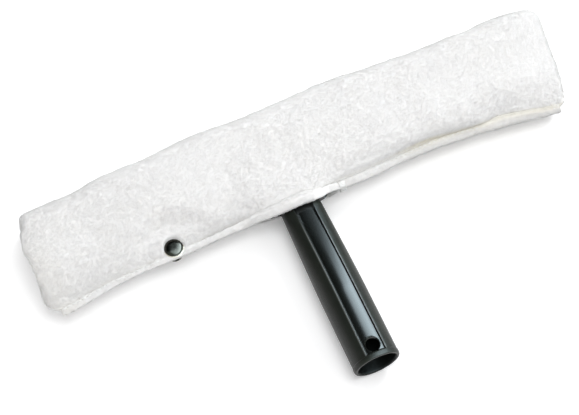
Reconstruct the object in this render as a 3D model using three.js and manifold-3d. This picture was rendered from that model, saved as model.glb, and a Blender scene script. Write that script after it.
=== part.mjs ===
// Window strip washer: a fleece sleeve closed by one press stud on a moulded T-bar.
// Millimetres, +Z up. The washer lies on its back on z = 0, with the crossbar along X and the handle
// along -Y. Pieces are drawn from the point where those two cross, and the whole is centred at the end.
import * as THREE from "three";
import { mergeVertices } from "three/addons/utils/BufferGeometryUtils.js";
import Module from "manifold-3d";

const wasm = await Module();
wasm.setup();

// Clearances and overruns
const FIT = 0.3; // gap between pieces that touch
const OVERRUN = 4; // how far a cut runs past the surface that it opens
const SHIFT = 3; // how far the sleeve can creep along the crossbar, each way

// Handle: a hollow moulding, oval at its root and round at its open end
const COLLAR_RADIUS = 15;
const GRIP_RADIUS = 14.7;
const ROOT_HALF_WIDTH = 13.1;
const ROOT_HALF_THICKNESS = 9.8;
const HANDLE_REACH = 144; // from the crossbar's centre line to the open end
const ROOT_DEPTH = 29; // where the grip leaves the shoulder, below the crossbar's centre line
const SWELL_SHARE = 0.6; // share of the grip over which it widens
const SWELL_POWER = 1.3;
const ROOT_SQUARENESS = 2.5; // exponent of the root's oval, 2 is an ellipse
const COLLAR_LENGTH = 2.9;
const COLLAR_STEP = 0.5;
const LIP_RADIUS = 14.1; // where the rounded end meets the flat rim
const LIP_ROUND = 1.3;
// The rounded end: [share of its round from the rim, share of the way from the lip to the collar]
const lipShares = [[1.6, 1], [0.5, 0.72], [0, 0]];
const MOUTH_RADIUS = 12.3;
const MOUTH_CHAMFER = 0.8;
const SOCKET_RADIUS = 10.6; // narrow end of the cone that an extension pole wedges into
const SOCKET_DEPTH = 76;
const CORE_RADIUS = 7.2;
const CORE_DEPTH = 96;
const PANEL_HALF_WIDTH_ROOT = 5.7;
const PANEL_HALF_WIDTH_END = 6.1;
const PANEL_DEPTH = 0.9;
const PANEL_END_GAP = 3.7; // from the panel's lower edge to the rim
const HANG_HOLE_RADIUS = 4.3;
const HANG_HOLE_GAP = 8.6; // from the hole's centre to the rim; it goes through the panel's wall only
const HANDLE_SIDES = 36;
const HANDLE_STEPS = 12;

// Shoulder and tongue: how the handle joins the crossbar
const SHOULDER_HALF_WIDTH = 22;
const SHOULDER_HALF_THICKNESS = 4.6;
const TONGUE_HALF_WIDTH = 20;
const TONGUE_THICKNESS = 5;
const TONGUE_LENGTH = 26;
const SCREW_SPREAD = 14; // from the handle's axis to each screw
const SCREW_INSET = 13; // from the crossbar's lower edge to the screws
const SCREW_SHANK_RADIUS = 1.9;
const SCREW_HEAD_RADIUS = 3.7;
const SCREW_HEAD_HEIGHT = 2.3;
const SCREW_DRIVE_RADIUS = 1.2;
const SCREW_DRIVE_DEPTH = 1.3;
const SCREW_SKIN = 1.4; // plastic left over a screw's tip

// Crossbar: a ribbed bar with drain slots, narrower towards its rounded tips
const BAR_HALF_LENGTH = 164;
const BAR_HALF_WIDTH = 20;
const BAR_TIP_HALF_WIDTH = 15.5;
const BAR_TIP_RADIUS = 11;
const BAR_THICKNESS = 12;
const BAR_BEVEL = 1.1;
const BAR_RIM = 2.6;
const BAR_WEB = 2.4;
const BAR_RIB = 2.2;
const HUB_HALF_LENGTH = 32; // the solid middle that holds the tongue
const CELL_COUNT = 5; // pockets each side of the hub
const POCKET_CORNER = 2.4;
const POCKET_CORNER_STEPS = 1;
const SLOT_LENGTH_SHARE = 0.62; // of its pocket
const SLOT_WIDTH_SHARE = 0.34;
const KEEL_WIDTH = 2.4; // the rib along the crossbar's centre line

// Sleeve: fleece folded over the top of the crossbar, sewn along the hem right of the handle
const OPEN_END_OVERHANG = 8; // how far the sleeve reaches past the crossbar's tips
const SEWN_END_OVERHANG = 40;
const SLEEVE_LEFT = BAR_HALF_LENGTH + OPEN_END_OVERHANG; // from the handle's axis to the open end
const SLEEVE_LENGTH = SLEEVE_LEFT + BAR_HALF_LENGTH + SEWN_END_OVERHANG;
const HEM_DEPTH = 28.5; // from the crossbar's centre line to the hem at the handle
const FOLD_HEIGHT = 45; // from the crossbar's centre line to the fold
const CROWN_HEIGHT = 29.2;
const POCKET_ROOM = 0.8; // between the crossbar and the fleece around it
const OPEN_END_RAGGED = 15;
const SEWN_END_SLANT = 23;
const FOLD_ROUND = 13;
const HEM_ROUND = 17;
const SEWN_END_ROUND = 46;
const OPEN_END_ROUND = 22;
const FOLD_BLUNT_SHARE = 0.2; // share of the full height that each edge keeps
const HEM_BLUNT_SHARE = 0.29;
const SEWN_END_BLUNT_SHARE = 0.24;
const OPEN_END_BLUNT_SHARE = 0.66;
const EVEN_SPACING_SHARE = 0.65; // the rest of the spacing closes up towards the ends
const UNDERSIDE_FULLNESS = 0.6; // exponent, smaller is flatter underneath
const SLEEVE_STEPS_LONG = 40;
const SLEEVE_STEPS_ACROSS = 13;

// Outlines of the sleeve: [share of the sleeve's length, share of the hem depth or fold height]
const hemShares = [
  [0, 1.4], [0.04, 1.36], [0.116, 1.185], [0.18, 1.1], [0.25, 1.065], [0.32, 1.0], [0.45, 0.965],
  [0.594, 0.935], [0.68, 0.9], [0.75, 0.915], [0.8, 0.955], [0.871, 1.045], [0.92, 1.14], [0.96, 1.2],
  [1, 1.22],
];
const foldShares = [
  [0, 0.68], [0.027, 0.755], [0.116, 0.79], [0.16, 0.87], [0.24, 0.885], [0.345, 0.975], [0.43, 0.953],
  [0.58, 1.03], [0.68, 0.998], [0.84, 0.99], [0.92, 1.02], [1, 1.02],
];
// Its ends: [share of the way from hem to fold, share of the end's slant or raggedness]
const sewnEndShares = [[0, 0.12], [0.05, 0.38], [0.26, 0.62], [0.6, 0.84], [0.88, 1], [1, 0.68]];
const openEndShares = [
  [0, 0.64], [0.04, 0.34], [0.11, 0.17], [0.3, 0.24], [0.55, 0.2], [0.69, 0.02], [0.84, 0.24], [1, 0.47],
];
// Soft dips in the crown: [share of the length, share across, share of the dip depth]
const DIP_DEPTH = 1.6;
const DIP_LENGTH = 26;
const DIP_WIDTH = 13;
const dipShares = [[0.1, 0.48, 0.9], [0.4, 0.5, 0.7], [0.63, 0.3, 0.8], [0.88, 0.45, 1], [0.76, 0.62, 0.5]];

// Slit: open from the left end to just right of the handle, lens-shaped where the handle passes
const SLIT_CENTRE = -2; // the lens's middle, from the handle's axis
const SLIT_HALF_LENGTH = 30;
const SLIT_HALF_HEIGHT = 11.2;
const LIP_BULGE = 5.5; // how far the front lip's edge is pushed out where it rides over the handle
const LIP_DRAW = 5; // how far the back lip's edge is drawn in under the handle
const LENS_STEPS = 24;
const PEEL_SWING = 5.5; // how far back the passage is cut, so that the flap's inside swings clear of the grip
const FLAP_TOP_HEIGHT = 28; // where the flap's fold line meets the open end, above the crossbar's centre line

// Binding tape round the hem, its sewing thread and the bar tack at the slit's end
const BINDING_WIDTH = 6;
const BINDING_THICKNESS = 3.9;
const BINDING_ROUND = 1.2;
const SEAM_HALF_THICKNESS = 3;
const HEM_STEP = 5; // between stations along the hem
const BINDING_ROOM = 0.25;
const THREAD_RADIUS = 0.45;
const THREAD_INSET = 1.3; // from the binding's inner edge
const THREAD_SIDES = 4;
const TACK_LENGTH = 4;
const TACK_THICKNESS = 0.9;

// Press stud: cap, spring and socket on the flap, stud and eyelet on the back lip
const SNAP_X = -84;
const SNAP_INSET = 5.4; // from the hem's edge to the stud's centre
const CAP_RADIUS = 6;
const CAP_HEIGHT = 2.2;
const CAP_RIM = 0.7;
// The cap's dome: [share of its radius, share of its height]
const capShares = [[0.93, 0.62], [0.74, 0.86], [0.42, 0.97]];
const CAP_POST_RADIUS = 1.1;
const SOCKET_RING_RADIUS = 5.5;
const SOCKET_RING_HEIGHT = 3;
const SOCKET_WELL_RADIUS = 3.7;
const SOCKET_PLATE = 0.6;
const SPRING_WIRE_RADIUS = 0.4;
const SPRING_GAP = 0.56 * Math.PI; // the opening in the spring's ring, which faces the fold line
const SPRING_STEPS = 18;
const SPRING_SIDES = 6;
const STUD_FLANGE_RADIUS = 5;
const STUD_FLANGE = 0.8;
const STUD_RADIUS = 2.1;
const STUD_NECK_RADIUS = 1.75;
const STUD_BORE_RADIUS = 1.0;
const EYELET_RADIUS = 5.6;
const EYELET_THICKNESS = 0.9;
const EYELET_POST_RADIUS = 1.6;
const CLAMPED_CLOTH = 1.6; // a lip's thickness where the stud squeezes it
const PEEL_ROOM = 1.5; // room for the socket to swing out of the back lip
const ROUND_SIDES = 22;

const MIDDLE = COLLAR_RADIUS; // height of the T-bar's middle plane and of the slit
const PILE = CROWN_HEIGHT - MIDDLE;
const BAR_BOTTOM = -BAR_HALF_WIDTH;
const RIM_Y = -HANDLE_REACH;
const ROOT_Y = -ROOT_DEPTH;

const blackPlastic = new THREE.MeshStandardMaterial({ color: 0x17191a, roughness: 0.36, metalness: 0 });
const steel = new THREE.MeshStandardMaterial({ color: 0xa9abad, roughness: 0.3, metalness: 1 });
const blackSteel = new THREE.MeshStandardMaterial({ color: 0x23241f, roughness: 0.2, metalness: 0.9 });
const fleece = new THREE.MeshStandardMaterial({ color: 0xeae9e6, roughness: 0.95, metalness: 0 });
const tape = new THREE.MeshStandardMaterial({ color: 0xe4e2da, roughness: 0.9, metalness: 0 });
const thread = new THREE.MeshStandardMaterial({ color: 0xf2f1ec, roughness: 0.8, metalness: 0 });

// A closed three.js geometry as a manifold solid.
function solidOf(geometry) {
  const bare = geometry.index ? geometry.toNonIndexed() : geometry.clone();
  for (const name of Object.keys(bare.attributes)) {
    if (name !== "position") bare.deleteAttribute(name);
  }
  const merged = mergeVertices(bare, 1e-4);
  return new wasm.Manifold(
    new wasm.Mesh({
      numProp: 3,
      vertProperties: merged.attributes.position.array,
      triVerts: new Uint32Array(merged.index.array),
    }),
  );
}

// A manifold solid as a three.js geometry.
function geometryOf(solid) {
  const mesh = solid.getMesh();
  const geometry = new THREE.BufferGeometry();
  geometry.setAttribute("position", new THREE.BufferAttribute(mesh.vertProperties, 3));
  geometry.setIndex(new THREE.BufferAttribute(mesh.triVerts, 1));
  geometry.computeVertexNormals();
  return geometry;
}

function namedMesh(name, solid, material) {
  const mesh = new THREE.Mesh(geometryOf(solid), material);
  mesh.name = name;
  return mesh;
}

// A solid from rings of equal length, each ring a list of THREE.Vector3, with a fan at either end.
function ringSolid(rings) {
  const sides = rings[0].length;
  const points = rings.flat();
  const faces = [];
  for (let i = 0; i + 1 < rings.length; i++) {
    for (let j = 0; j < sides; j++) {
      const a = i * sides + j;
      const b = i * sides + ((j + 1) % sides);
      faces.push(a, b, a + sides, b, b + sides, a + sides);
    }
  }
  const middleOf = (ring) => ring.reduce((sum, p) => sum.add(p), new THREE.Vector3()).divideScalar(sides);
  const last = (rings.length - 1) * sides;
  const firstMiddle = points.push(middleOf(rings[0])) - 1;
  const lastMiddle = points.push(middleOf(rings.at(-1))) - 1;
  for (let j = 0; j < sides; j++) {
    const next = (j + 1) % sides;
    faces.push(firstMiddle, next, j);
    faces.push(lastMiddle, last + j, last + next);
  }
  const geometry = new THREE.BufferGeometry().setFromPoints(points);
  geometry.setIndex(faces);
  const solid = solidOf(geometry);
  if (solid.volume() > 0) return solid;
  geometry.setIndex(faces.reverse());
  return solidOf(geometry);
}

// A plan outline extruded from one height to another.
function plate(shape, low, high, bevel = 0, curveSegments = 5) {
  const settings = {
    depth: high - low - 2 * bevel,
    bevelEnabled: bevel > 0,
    bevelThickness: bevel,
    bevelSize: bevel,
    bevelOffset: -bevel,
    bevelSegments: 1,
    curveSegments,
  };
  return solidOf(new THREE.ExtrudeGeometry(shape, settings).translate(0, 0, low + bevel));
}

function polygon(points) {
  return new THREE.Shape(points.map(([x, y]) => new THREE.Vector2(x, y)));
}

// A rectangle with round corners, centred at x, y.
function roundedRectangle(x, y, halfLength, halfWidth, radius) {
  const shape = new THREE.Shape();
  shape.moveTo(x - halfLength + radius, y - halfWidth);
  shape.absarc(x + halfLength - radius, y - halfWidth + radius, radius, -Math.PI / 2, 0);
  shape.absarc(x + halfLength - radius, y + halfWidth - radius, radius, 0, Math.PI / 2);
  shape.absarc(x - halfLength + radius, y + halfWidth - radius, radius, Math.PI / 2, Math.PI);
  shape.absarc(x - halfLength + radius, y - halfWidth + radius, radius, Math.PI, Math.PI * 1.5);
  return shape;
}

// A profile of [radius, height] pairs turned about a vertical axis at x, y.
function turned(profile, x, y, sides = ROUND_SIDES) {
  const points = profile.map(([radius, height]) => new THREE.Vector2(radius, height));
  const geometry = new THREE.LatheGeometry(points, sides).rotateX(Math.PI / 2).translate(x, y, 0);
  const solid = solidOf(geometry);
  return solid.volume() > 0 ? solid : solidOf(new THREE.LatheGeometry(points.reverse(), sides)
    .rotateX(Math.PI / 2).translate(x, y, 0));
}

function cylinder(x, y, radius, low, high, sides = ROUND_SIDES) {
  return turned([[0, low], [radius, low], [radius, high], [0, high]], x, y, sides);
}

const smoothCurve = (shares) => new THREE.SplineCurve(shares.map(([s, t]) => new THREE.Vector2(s, t)));

// The second value of a table of shares at a given first value, on a smooth curve through the table.
function valueAt(curve, first) {
  let low = 0;
  let high = 1;
  for (let i = 0; i < 26; i++) {
    const middle = (low + high) / 2;
    if (curve.getPoint(middle).x < first) low = middle;
    else high = middle;
  }
  return curve.getPoint((low + high) / 2).y;
}

const hemCurve = smoothCurve(hemShares);
const foldCurve = smoothCurve(foldShares);
const sewnEndCurve = smoothCurve(sewnEndShares);
const openEndCurve = smoothCurve(openEndShares);
const hemY = (x) => -HEM_DEPTH * valueAt(hemCurve, (x + SLEEVE_LEFT) / SLEEVE_LENGTH);
const foldY = (x) => FOLD_HEIGHT * valueAt(foldCurve, (x + SLEEVE_LEFT) / SLEEVE_LENGTH);
const openEndX = (across) => -SLEEVE_LEFT + OPEN_END_RAGGED * valueAt(openEndCurve, across);
const sewnEndX = (across) =>
  SLEEVE_LENGTH - SLEEVE_LEFT - SEWN_END_SLANT * (1 - valueAt(sewnEndCurve, across));

// How far each lip is lifted from the middle plane at x: a lens round the handle, zero elsewhere.
function slitLift(x) {
  const along = (x - SLIT_CENTRE) / SLIT_HALF_LENGTH;
  return Math.abs(along) < 1 ? SLIT_HALF_HEIGHT * Math.sqrt(1 - along * along) : 0;
}

const frontEdgeY = (x) => hemY(x) - LIP_BULGE * (slitLift(x) / SLIT_HALF_HEIGHT) ** 2;
const backEdgeY = (x) => hemY(x) + LIP_DRAW * (slitLift(x) / SLIT_HALF_HEIGHT) ** 2;

// Rises from blunt at an edge to 1 at a distance of round, as a quarter circle does.
function edgeRise(distance, round, blunt) {
  const left = 1 - Math.min(Math.max(distance / round, 0), 1);
  return blunt + (1 - blunt) * Math.sqrt(1 - left * left);
}

function dipAt(x, across) {
  return dipShares.reduce((sum, [longShare, acrossShare, deepShare]) => {
    const along = (x + SLEEVE_LEFT - longShare * SLEEVE_LENGTH) / DIP_LENGTH;
    const over = ((across - acrossShare) * (FOLD_HEIGHT + HEM_DEPTH)) / DIP_WIDTH;
    return sum + deepShare * DIP_DEPTH * Math.exp(-(along ** 2) - over ** 2);
  }, 0);
}

// The fleece as one pillow: flat underneath, crowned on top, thinner at its hem and ends.
function pillow() {
  const top = [];
  const bottom = [];
  for (let i = 0; i <= SLEEVE_STEPS_LONG; i++) {
    for (let j = 0; j <= SLEEVE_STEPS_ACROSS; j++) {
      const across = (1 - Math.cos((Math.PI * j) / SLEEVE_STEPS_ACROSS)) / 2;
      const start = openEndX(across);
      const end = sewnEndX(across);
      const even = i / SLEEVE_STEPS_LONG;
      const eased = (1 - Math.cos(Math.PI * even)) / 2;
      const x = start + (end - start) * (eased + (even - eased) * EVEN_SPACING_SHARE);
      const low = hemY(x) + BINDING_WIDTH;
      const y = low + (foldY(x) - low) * across;
      const lens = slitLift(x) / SLIT_HALF_HEIGHT;
      const nearHem = (1 - across) ** 3;
      const rise =
        edgeRise(foldY(x) - y, FOLD_ROUND, FOLD_BLUNT_SHARE) *
        edgeRise(y - low, HEM_ROUND, HEM_BLUNT_SHARE + (1 - HEM_BLUNT_SHARE) * lens) *
        edgeRise(end - x, SEWN_END_ROUND, SEWN_END_BLUNT_SHARE) *
        edgeRise(x - start, OPEN_END_ROUND, OPEN_END_BLUNT_SHARE);
      const frontY = y + (frontEdgeY(x) - hemY(x)) * nearHem;
      const backY = y + (backEdgeY(x) - hemY(x)) * nearHem;
      top.push(new THREE.Vector3(x, frontY, MIDDLE + (PILE - dipAt(x, across)) * rise));
      bottom.push(new THREE.Vector3(x, backY, MIDDLE * (1 - Math.min(1, rise ** UNDERSIDE_FULLNESS))));
    }
  }
  const row = SLEEVE_STEPS_ACROSS + 1;
  const under = top.length;
  const faces = [];
  const quad = (a, b, c, d) => faces.push(a, b, c, a, c, d);
  for (let i = 0; i < SLEEVE_STEPS_LONG; i++) {
    for (let j = 0; j < SLEEVE_STEPS_ACROSS; j++) {
      const a = i * row + j;
      quad(a, a + row, a + row + 1, a + 1);
      quad(under + a, under + a + 1, under + a + row + 1, under + a + row);
    }
  }
  const border = [];
  for (let i = 0; i < SLEEVE_STEPS_LONG; i++) border.push(i * row);
  for (let j = 0; j < SLEEVE_STEPS_ACROSS; j++) border.push(SLEEVE_STEPS_LONG * row + j);
  for (let i = SLEEVE_STEPS_LONG; i > 0; i--) border.push(i * row + SLEEVE_STEPS_ACROSS);
  for (let j = SLEEVE_STEPS_ACROSS; j > 0; j--) border.push(j);
  const points = [...top, ...bottom];
  const belt = points.length;
  border.forEach((a) => points.push(top[a].clone().setZ(MIDDLE + FIT / 4)));
  border.forEach((a) => points.push(bottom[a].clone().setZ(MIDDLE - FIT / 4)));
  border.forEach((a, k) => {
    const next = (k + 1) % border.length;
    const b = border[next];
    const upper = belt + k;
    const upperNext = belt + next;
    const lower = upper + border.length;
    const lowerNext = upperNext + border.length;
    quad(upper, upperNext, b, a);
    quad(lower, lowerNext, upperNext, upper);
    quad(under + a, under + b, lowerNext, lower);
  });
  const geometry = new THREE.BufferGeometry().setFromPoints(points);
  geometry.setIndex(faces);
  return solidOf(geometry);
}

// The crossbar's plan outline, grown by room all round and by reach more at its tips.
function barOutline(room = 0, reach = 0) {
  const tip = BAR_HALF_LENGTH + room + reach;
  const half = BAR_HALF_WIDTH + room;
  const tipHalf = BAR_TIP_HALF_WIDTH + room;
  const shape = new THREE.Shape();
  shape.moveTo(-HUB_HALF_LENGTH, -half);
  shape.lineTo(HUB_HALF_LENGTH, -half);
  shape.lineTo(tip - BAR_TIP_RADIUS, -tipHalf);
  shape.quadraticCurveTo(tip, -tipHalf, tip, -tipHalf + BAR_TIP_RADIUS);
  shape.lineTo(tip, tipHalf - BAR_TIP_RADIUS);
  shape.quadraticCurveTo(tip, tipHalf, tip - BAR_TIP_RADIUS, tipHalf);
  shape.lineTo(HUB_HALF_LENGTH, half);
  shape.lineTo(-HUB_HALF_LENGTH, half);
  shape.lineTo(-tip + BAR_TIP_RADIUS, tipHalf);
  shape.quadraticCurveTo(-tip, tipHalf, -tip, tipHalf - BAR_TIP_RADIUS);
  shape.lineTo(-tip, -tipHalf + BAR_TIP_RADIUS);
  shape.quadraticCurveTo(-tip, -tipHalf, -tip + BAR_TIP_RADIUS, -tipHalf);
  return shape;
}

// The crossbar's half width at x, following the outline's taper.
function barHalfWidthAt(x) {
  const run = BAR_HALF_LENGTH - BAR_TIP_RADIUS - HUB_HALF_LENGTH;
  const share = Math.min(Math.max((Math.abs(x) - HUB_HALF_LENGTH) / run, 0), 1);
  return BAR_HALF_WIDTH + (BAR_TIP_HALF_WIDTH - BAR_HALF_WIDTH) * share;
}

const screwSeat = MIDDLE - BAR_THICKNESS / 2 + SCREW_HEAD_HEIGHT + FIT;
const screwTip = MIDDLE + BAR_THICKNESS / 2 - SCREW_SKIN - FIT;
const screwY = BAR_BOTTOM + SCREW_INSET;

function crossbar() {
  const low = MIDDLE - BAR_THICKNESS / 2;
  const high = MIDDLE + BAR_THICKNESS / 2;
  let body = plate(barOutline(), low, high, BAR_BEVEL);
  const room = BAR_HALF_LENGTH - BAR_RIM - HUB_HALF_LENGTH;
  const pitch = room / CELL_COUNT;
  for (const side of [-1, 1]) {
    for (let cell = 0; cell < CELL_COUNT; cell++) {
      const x = side * (HUB_HALF_LENGTH + (cell + 0.5) * pitch);
      const halfLength = (pitch - BAR_RIB) / 2;
      const wall = barHalfWidthAt(Math.abs(x) + halfLength) - BAR_RIM;
      for (const row of [-1, 1]) {
        const halfWidth = (wall - KEEL_WIDTH / 2) / 2;
        const y = row * (KEEL_WIDTH / 2 + halfWidth);
        const pocket = roundedRectangle(x, y, halfLength, halfWidth, POCKET_CORNER);
        const slotHalf = halfWidth * SLOT_WIDTH_SHARE;
        const slot = roundedRectangle(x, y, halfLength * SLOT_LENGTH_SHARE, slotHalf, slotHalf);
        body = body
          .subtract(plate(pocket, MIDDLE + BAR_WEB / 2, high + OVERRUN, 0, POCKET_CORNER_STEPS))
          .subtract(plate(pocket, low - OVERRUN, MIDDLE - BAR_WEB / 2, 0, POCKET_CORNER_STEPS))
          .subtract(plate(slot, low - OVERRUN, high + OVERRUN, 0, POCKET_CORNER_STEPS));
      }
    }
  }
  const mortiseTop = BAR_BOTTOM + TONGUE_LENGTH + FIT;
  const mortiseHalf = TONGUE_HALF_WIDTH + FIT;
  const mortise = polygon([
    [-mortiseHalf, BAR_BOTTOM - OVERRUN],
    [mortiseHalf, BAR_BOTTOM - OVERRUN],
    [mortiseHalf, mortiseTop],
    [-mortiseHalf, mortiseTop],
  ]);
  const halfSlot = TONGUE_THICKNESS / 2 + FIT;
  body = body.subtract(plate(mortise, MIDDLE - halfSlot, MIDDLE + halfSlot));
  for (const side of [-1, 1]) {
    const x = side * SCREW_SPREAD;
    body = body
      .subtract(cylinder(x, screwY, SCREW_HEAD_RADIUS + FIT, low - OVERRUN, screwSeat))
      .subtract(cylinder(x, screwY, SCREW_SHANK_RADIUS + FIT, low - OVERRUN, screwTip + FIT));
  }
  return body;
}

// Half width and half thickness of the grip at a share of the way from its root to its rim.
function gripAt(share) {
  const swell = 1 - Math.max(0, 1 - share / SWELL_SHARE) ** SWELL_POWER;
  return {
    halfWidth: ROOT_HALF_WIDTH + (GRIP_RADIUS - ROOT_HALF_WIDTH) * swell,
    halfThickness: ROOT_HALF_THICKNESS + (GRIP_RADIUS - ROOT_HALF_THICKNESS) * swell,
    squareness: ROOT_SQUARENESS + (2 - ROOT_SQUARENESS) * swell,
  };
}

// One ring of the handle: an oval across the handle's axis at y, drawn in by inset.
function ovalRing(y, { halfWidth, halfThickness, squareness }, inset = 0, sides = HANDLE_SIDES) {
  return Array.from({ length: sides }, (_, k) => {
    const turn = (2 * Math.PI * k) / sides;
    const power = (value) => Math.sign(value) * Math.abs(value) ** (2 / squareness);
    return new THREE.Vector3(
      (halfWidth - inset) * power(Math.sin(turn)),
      y,
      MIDDLE + (halfThickness - inset) * power(Math.cos(turn)),
    );
  });
}

const round = (radius) => ({ halfWidth: radius, halfThickness: radius, squareness: 2 });

// The grip's outside from root to collar, drawn in by inset.
function gripRings(inset) {
  const collarY = RIM_Y + COLLAR_LENGTH + COLLAR_STEP;
  return Array.from({ length: HANDLE_STEPS + 1 }, (_, k) => {
    const share = k / HANDLE_STEPS;
    return ovalRing(ROOT_Y + (collarY - ROOT_Y) * share, gripAt(share), inset);
  });
}

// The shoulder: a web in the T's plane that spreads from the grip's root to the crossbar's edge.
function shoulder() {
  const top = BAR_BOTTOM - FIT;
  const shape = new THREE.Shape();
  shape.moveTo(-ROOT_HALF_WIDTH, ROOT_Y);
  shape.quadraticCurveTo(-ROOT_HALF_WIDTH - FIT, top, -SHOULDER_HALF_WIDTH, top);
  shape.lineTo(SHOULDER_HALF_WIDTH, top);
  shape.quadraticCurveTo(ROOT_HALF_WIDTH + FIT, top, ROOT_HALF_WIDTH, ROOT_Y);
  return plate(shape, MIDDLE - SHOULDER_HALF_THICKNESS, MIDDLE + SHOULDER_HALF_THICKNESS);
}

function handle() {
  const rings = gripRings(0);
  const core = ringSolid([...gripRings(PANEL_DEPTH), ovalRing(RIM_Y, round(GRIP_RADIUS - PANEL_DEPTH))]);
  const rootInside = BAR_BOTTOM - FIT;
  rings.unshift(ovalRing(rootInside, gripAt(0)));
  rings.push(ovalRing(RIM_Y + COLLAR_LENGTH, round(COLLAR_RADIUS)));
  for (const [up, out] of lipShares) {
    rings.push(ovalRing(RIM_Y + LIP_ROUND * up, round(LIP_RADIUS + (COLLAR_RADIUS - LIP_RADIUS) * out)));
  }
  let body = ringSolid(rings).add(shoulder());

  const tongue = polygon([
    [-TONGUE_HALF_WIDTH, rootInside - FIT],
    [TONGUE_HALF_WIDTH, rootInside - FIT],
    [TONGUE_HALF_WIDTH, BAR_BOTTOM + TONGUE_LENGTH],
    [-TONGUE_HALF_WIDTH, BAR_BOTTOM + TONGUE_LENGTH],
  ]);
  body = body.add(plate(tongue, MIDDLE - TONGUE_THICKNESS / 2, MIDDLE + TONGUE_THICKNESS / 2));
  for (const side of [-1, 1]) {
    body = body.subtract(cylinder(side * SCREW_SPREAD, screwY, SCREW_SHANK_RADIUS + FIT, 0, CROWN_HEIGHT));
  }

  const bore = [
    ovalRing(RIM_Y - OVERRUN, round(MOUTH_RADIUS + MOUTH_CHAMFER)),
    ovalRing(RIM_Y, round(MOUTH_RADIUS + MOUTH_CHAMFER)),
    ovalRing(RIM_Y + MOUTH_CHAMFER, round(MOUTH_RADIUS)),
    ovalRing(RIM_Y + SOCKET_DEPTH, round(SOCKET_RADIUS)),
    ovalRing(RIM_Y + SOCKET_DEPTH + MOUTH_CHAMFER, round(CORE_RADIUS)),
    ovalRing(RIM_Y + CORE_DEPTH, round(CORE_RADIUS)),
  ];
  body = body.subtract(ringSolid(bore));

  const panelEnd = RIM_Y + PANEL_END_GAP;
  const panelStart = BAR_BOTTOM - FIT;
  const window = polygon([
    [-PANEL_HALF_WIDTH_ROOT, panelStart],
    [-PANEL_HALF_WIDTH_END, panelEnd],
    [PANEL_HALF_WIDTH_END, panelEnd],
    [PANEL_HALF_WIDTH_ROOT, panelStart],
  ]);
  const frontAndBack = [plate(window, MIDDLE, MIDDLE + 2 * COLLAR_RADIUS), plate(window, -OVERRUN, MIDDLE)];
  for (const prism of frontAndBack) body = body.subtract(prism.subtract(core).subtract(shoulderGuard()));
  const top = MIDDLE + 2 * COLLAR_RADIUS;
  return body.subtract(cylinder(0, RIM_Y + HANG_HOLE_GAP, HANG_HOLE_RADIUS, MIDDLE, top));
}

// Keeps the panel's cut off the shoulder and the tongue.
function shoulderGuard() {
  const guard = polygon([
    [-SHOULDER_HALF_WIDTH, ROOT_Y],
    [SHOULDER_HALF_WIDTH, ROOT_Y],
    [SHOULDER_HALF_WIDTH, 0],
    [-SHOULDER_HALF_WIDTH, 0],
  ]);
  return plate(guard, -OVERRUN, MIDDLE + 2 * COLLAR_RADIUS);
}

function screw(side) {
  const x = side * SCREW_SPREAD;
  const headFace = screwSeat - SCREW_HEAD_HEIGHT;
  const seat = screwSeat - FIT;
  const profile = [
    [0, headFace],
    [SCREW_HEAD_RADIUS - SCREW_DRIVE_DEPTH / 2, headFace],
    [SCREW_HEAD_RADIUS, headFace + SCREW_DRIVE_DEPTH / 2],
    [SCREW_HEAD_RADIUS, seat],
    [SCREW_SHANK_RADIUS, seat],
    [SCREW_SHANK_RADIUS, screwTip - SCREW_SHANK_RADIUS / 2],
    [SCREW_SHANK_RADIUS / 2, screwTip],
    [0, screwTip],
  ];
  const drive = cylinder(x, screwY, SCREW_DRIVE_RADIUS, headFace - OVERRUN, headFace + SCREW_DRIVE_DEPTH, 6);
  return turned(profile, x, screwY).subtract(drive);
}

const pocketTop = MIDDLE + BAR_THICKNESS / 2 + POCKET_ROOM;

// The room inside the sleeve for the crossbar, open at the left end.
function barPocket() {
  const low = MIDDLE - BAR_THICKNESS / 2 - POCKET_ROOM;
  const half = BAR_TIP_HALF_WIDTH + POCKET_ROOM;
  const mouth = polygon([
    [-SLEEVE_LEFT - OVERRUN, -half],
    [-BAR_HALF_LENGTH + BAR_TIP_RADIUS, -half],
    [-BAR_HALF_LENGTH + BAR_TIP_RADIUS, half],
    [-SLEEVE_LEFT - OVERRUN, half],
  ]);
  return plate(barOutline(POCKET_ROOM, SHIFT), low, pocketTop).add(plate(mouth, low, pocketTop));
}

// The room that the handle and its shoulder take where they pass between the lips.
function handlePassage() {
  const upper = [];
  for (let k = 0; k <= LENS_STEPS; k++) {
    const x = SLIT_CENTRE - SLIT_HALF_LENGTH * Math.cos((Math.PI * k) / LENS_STEPS);
    upper.push([x, slitLift(x) + FIT / 2]);
  }
  const lower = upper.map(([x, lift]) => [x, -lift]).reverse();
  const lens = polygon([...upper, ...lower]);
  const long = HEM_DEPTH * 2 - BAR_HALF_WIDTH + OVERRUN;
  const through = new THREE.ExtrudeGeometry(lens, { depth: long, bevelEnabled: false })
    .rotateX(Math.PI / 2)
    .translate(0, BAR_BOTTOM + PEEL_SWING, MIDDLE);
  const wide = SHOULDER_HALF_WIDTH + SHIFT + 2 * FIT;
  const narrow = ROOT_HALF_WIDTH + SHIFT + 2 * FIT;
  const web = polygon([
    [-narrow, ROOT_Y - OVERRUN],
    [narrow, ROOT_Y - OVERRUN],
    [wide, BAR_BOTTOM - FIT],
    [wide, BAR_BOTTOM + OVERRUN],
    [-wide, BAR_BOTTOM + OVERRUN],
    [-wide, BAR_BOTTOM - FIT],
  ]);
  const half = SHOULDER_HALF_THICKNESS + 2 * FIT;
  return solidOf(through).add(plate(web, MIDDLE - half, MIDDLE + half));
}

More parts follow.
